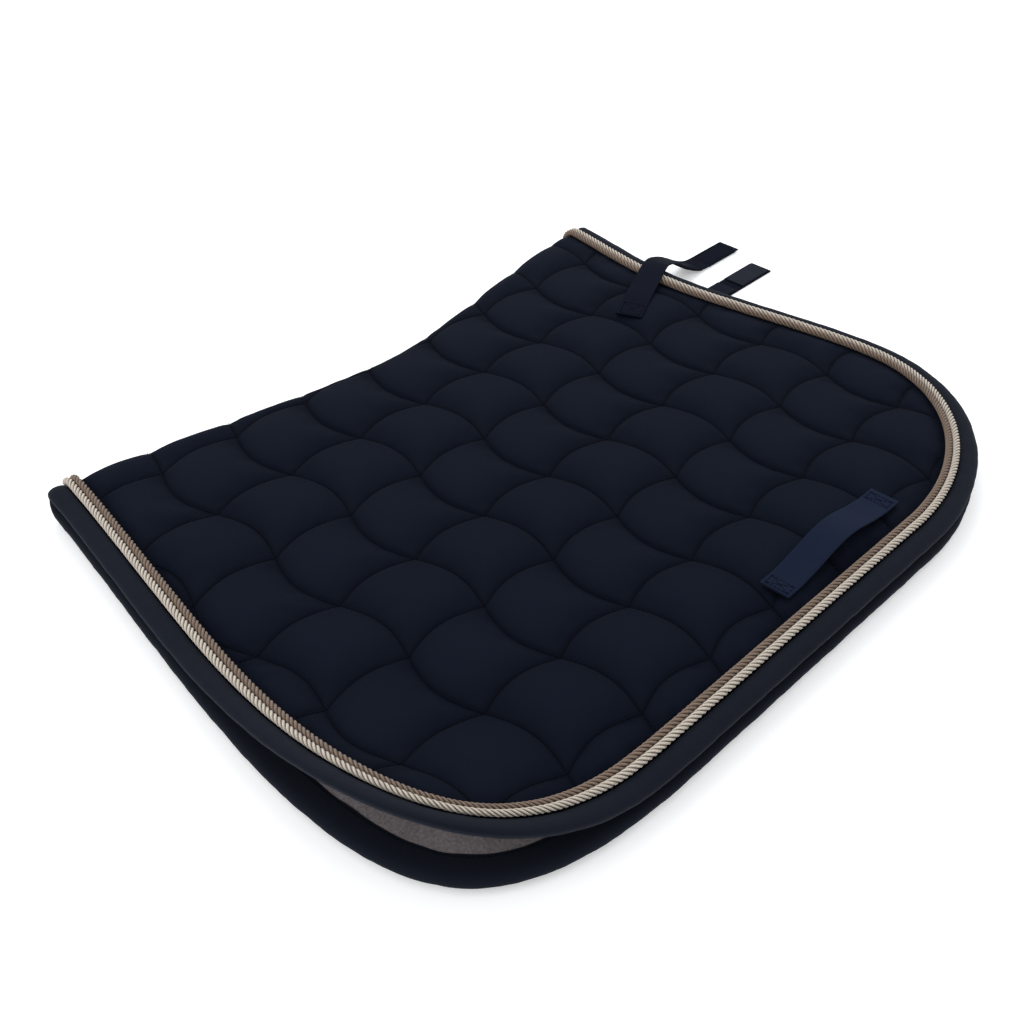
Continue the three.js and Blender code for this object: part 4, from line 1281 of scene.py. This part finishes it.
# %% Dress the straps, and attach their tape patches and threads
joint_at = {joint["name"]: Vector(joint["pos_m"]) for joint in frame["joints"]}
for side in ("left", "right"):
    bodies = (f"{side}_half", f"{side}_strap_run", f"{side}_strap_end")
    turned = STRAP_HEADING if side == "right" else 0
    heading = Vector((math.cos(turned), math.sin(turned), 0))
    for part, hinge, pair, way, nodes in (
            ("sewn", "lift", bodies[:2], heading, (f"{side}_strap_anchor", f"{side}_strap")),
            ("tip", "fold", bodies[1:], Vector((1, 0, 0)), (f"{side}_strap_tip",))):
        piece, middle = straps[side, part], joint_at[f"{side}_strap_{hinge}"]
        dress(piece, NAVY_WEBBING)
        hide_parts(*nodes)
        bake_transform(piece)
    for kind, body, finish in (("loop", bodies[1], LOOP_TAPE), ("hook", bodies[2], HOOK_TAPE)):
        dress(patches[side, kind], finish)
        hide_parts(f"{side}_{kind}_patch")
        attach(patches[side, kind], body)
        dress(strap_threads[side, kind], THREAD_WITH_PAINTED_SHADE)
        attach(strap_threads[side, kind], body)
dress(strap_threads["right", "anchor"], THREAD_WITH_PAINTED_SHADE)
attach(strap_threads["right", "anchor"], "right_half")

# %% [markdown]

# %% [markdown]
# ## Floor, light and camera
# A plain pale floor and a large soft light from above and behind keep the dark cloth readable: each
# puff turns its far side to the light, and the valleys between them stay dark, with painted shade too.

# %% Studio
FLOOR_SIZE, FLOOR_HEIGHT = 30, -0.3 * MM
bpy.ops.mesh.primitive_plane_add(size=FLOOR_SIZE, location=(0, 0, FLOOR_HEIGHT))
floor = bpy.context.object
floor.name = "studio_floor"
pale = bpy.data.materials.new("pale_floor")
pale.use_nodes = True
pale_shader = pale.node_tree.nodes["Principled BSDF"]
pale_shader.inputs["Base Color"].default_value = (0.93, 0.93, 0.93, 1)
pale_shader.inputs["Roughness"].default_value = 0.9
pale_shader.inputs["Emission Color"].default_value = (1, 1, 1, 1)
pale_shader.inputs["Emission Strength"].default_value = 0.3
dress(floor, pale)

world = bpy.data.worlds.new("soft_studio")
world.use_nodes = True
sky = world.node_tree.nodes["Background"]
sky.inputs["Color"].default_value = (0.96, 0.98, 1.0, 1)
sky.inputs["Strength"].default_value = 0.95
SCENE.world = world


def soft_light(name, place, target, size, power):
    """A square area light at a place, turned towards a target."""
    lamp = bpy.data.lights.new(name, "AREA")
    lamp.size, lamp.energy = size, power
    holder = bpy.data.objects.new(name, lamp)
    holder.location = place
    holder.rotation_euler = (Vector(target) - Vector(place)).to_track_quat("-Z", "Y").to_euler()
    SCENE.collection.objects.link(holder)


soft_light("back_softbox", (0.9, 1.3, 1.9), target=(0, 0, 0), size=1.8, power=20)
soft_light("side_softbox", (-1.8, 0.2, 1.3), target=(0, 0, 0), size=1.4, power=9)

CAMERA_PLACE = Vector(ORIGIN) + Vector((-0.3569, -0.8158, 0.6583))
VIEW_HEADING, VIEW_DOWN, VIEW_ROLL = (math.radians(angle) for angle in (41.9047, 38.5008, 1.4365))
SENSOR_WIDTH, FOCAL_LENGTH = 36, 46.11621  # both in millimetres, as Blender's cameras take them
lens = bpy.data.cameras.new("camera")
lens.sensor_width = SENSOR_WIDTH
lens.lens = FOCAL_LENGTH
camera = bpy.data.objects.new("camera", lens)
forward = Vector((math.cos(VIEW_DOWN) * math.cos(VIEW_HEADING),
                  math.cos(VIEW_DOWN) * math.sin(VIEW_HEADING), -math.sin(VIEW_DOWN)))
upright = forward.to_track_quat("-Z", "Y").to_matrix().to_4x4()
camera.matrix_world = Matrix.Translation(CAMERA_PLACE) @ upright @ Matrix.Rotation(VIEW_ROLL, 4, "Z")
SCENE.collection.objects.link(camera)
SCENE.camera = camera
SCENE.view_settings.view_transform = "Standard"
print("camera at", [round(v, 4) for v in CAMERA_PLACE], f"lens {lens.lens:.1f} mm")
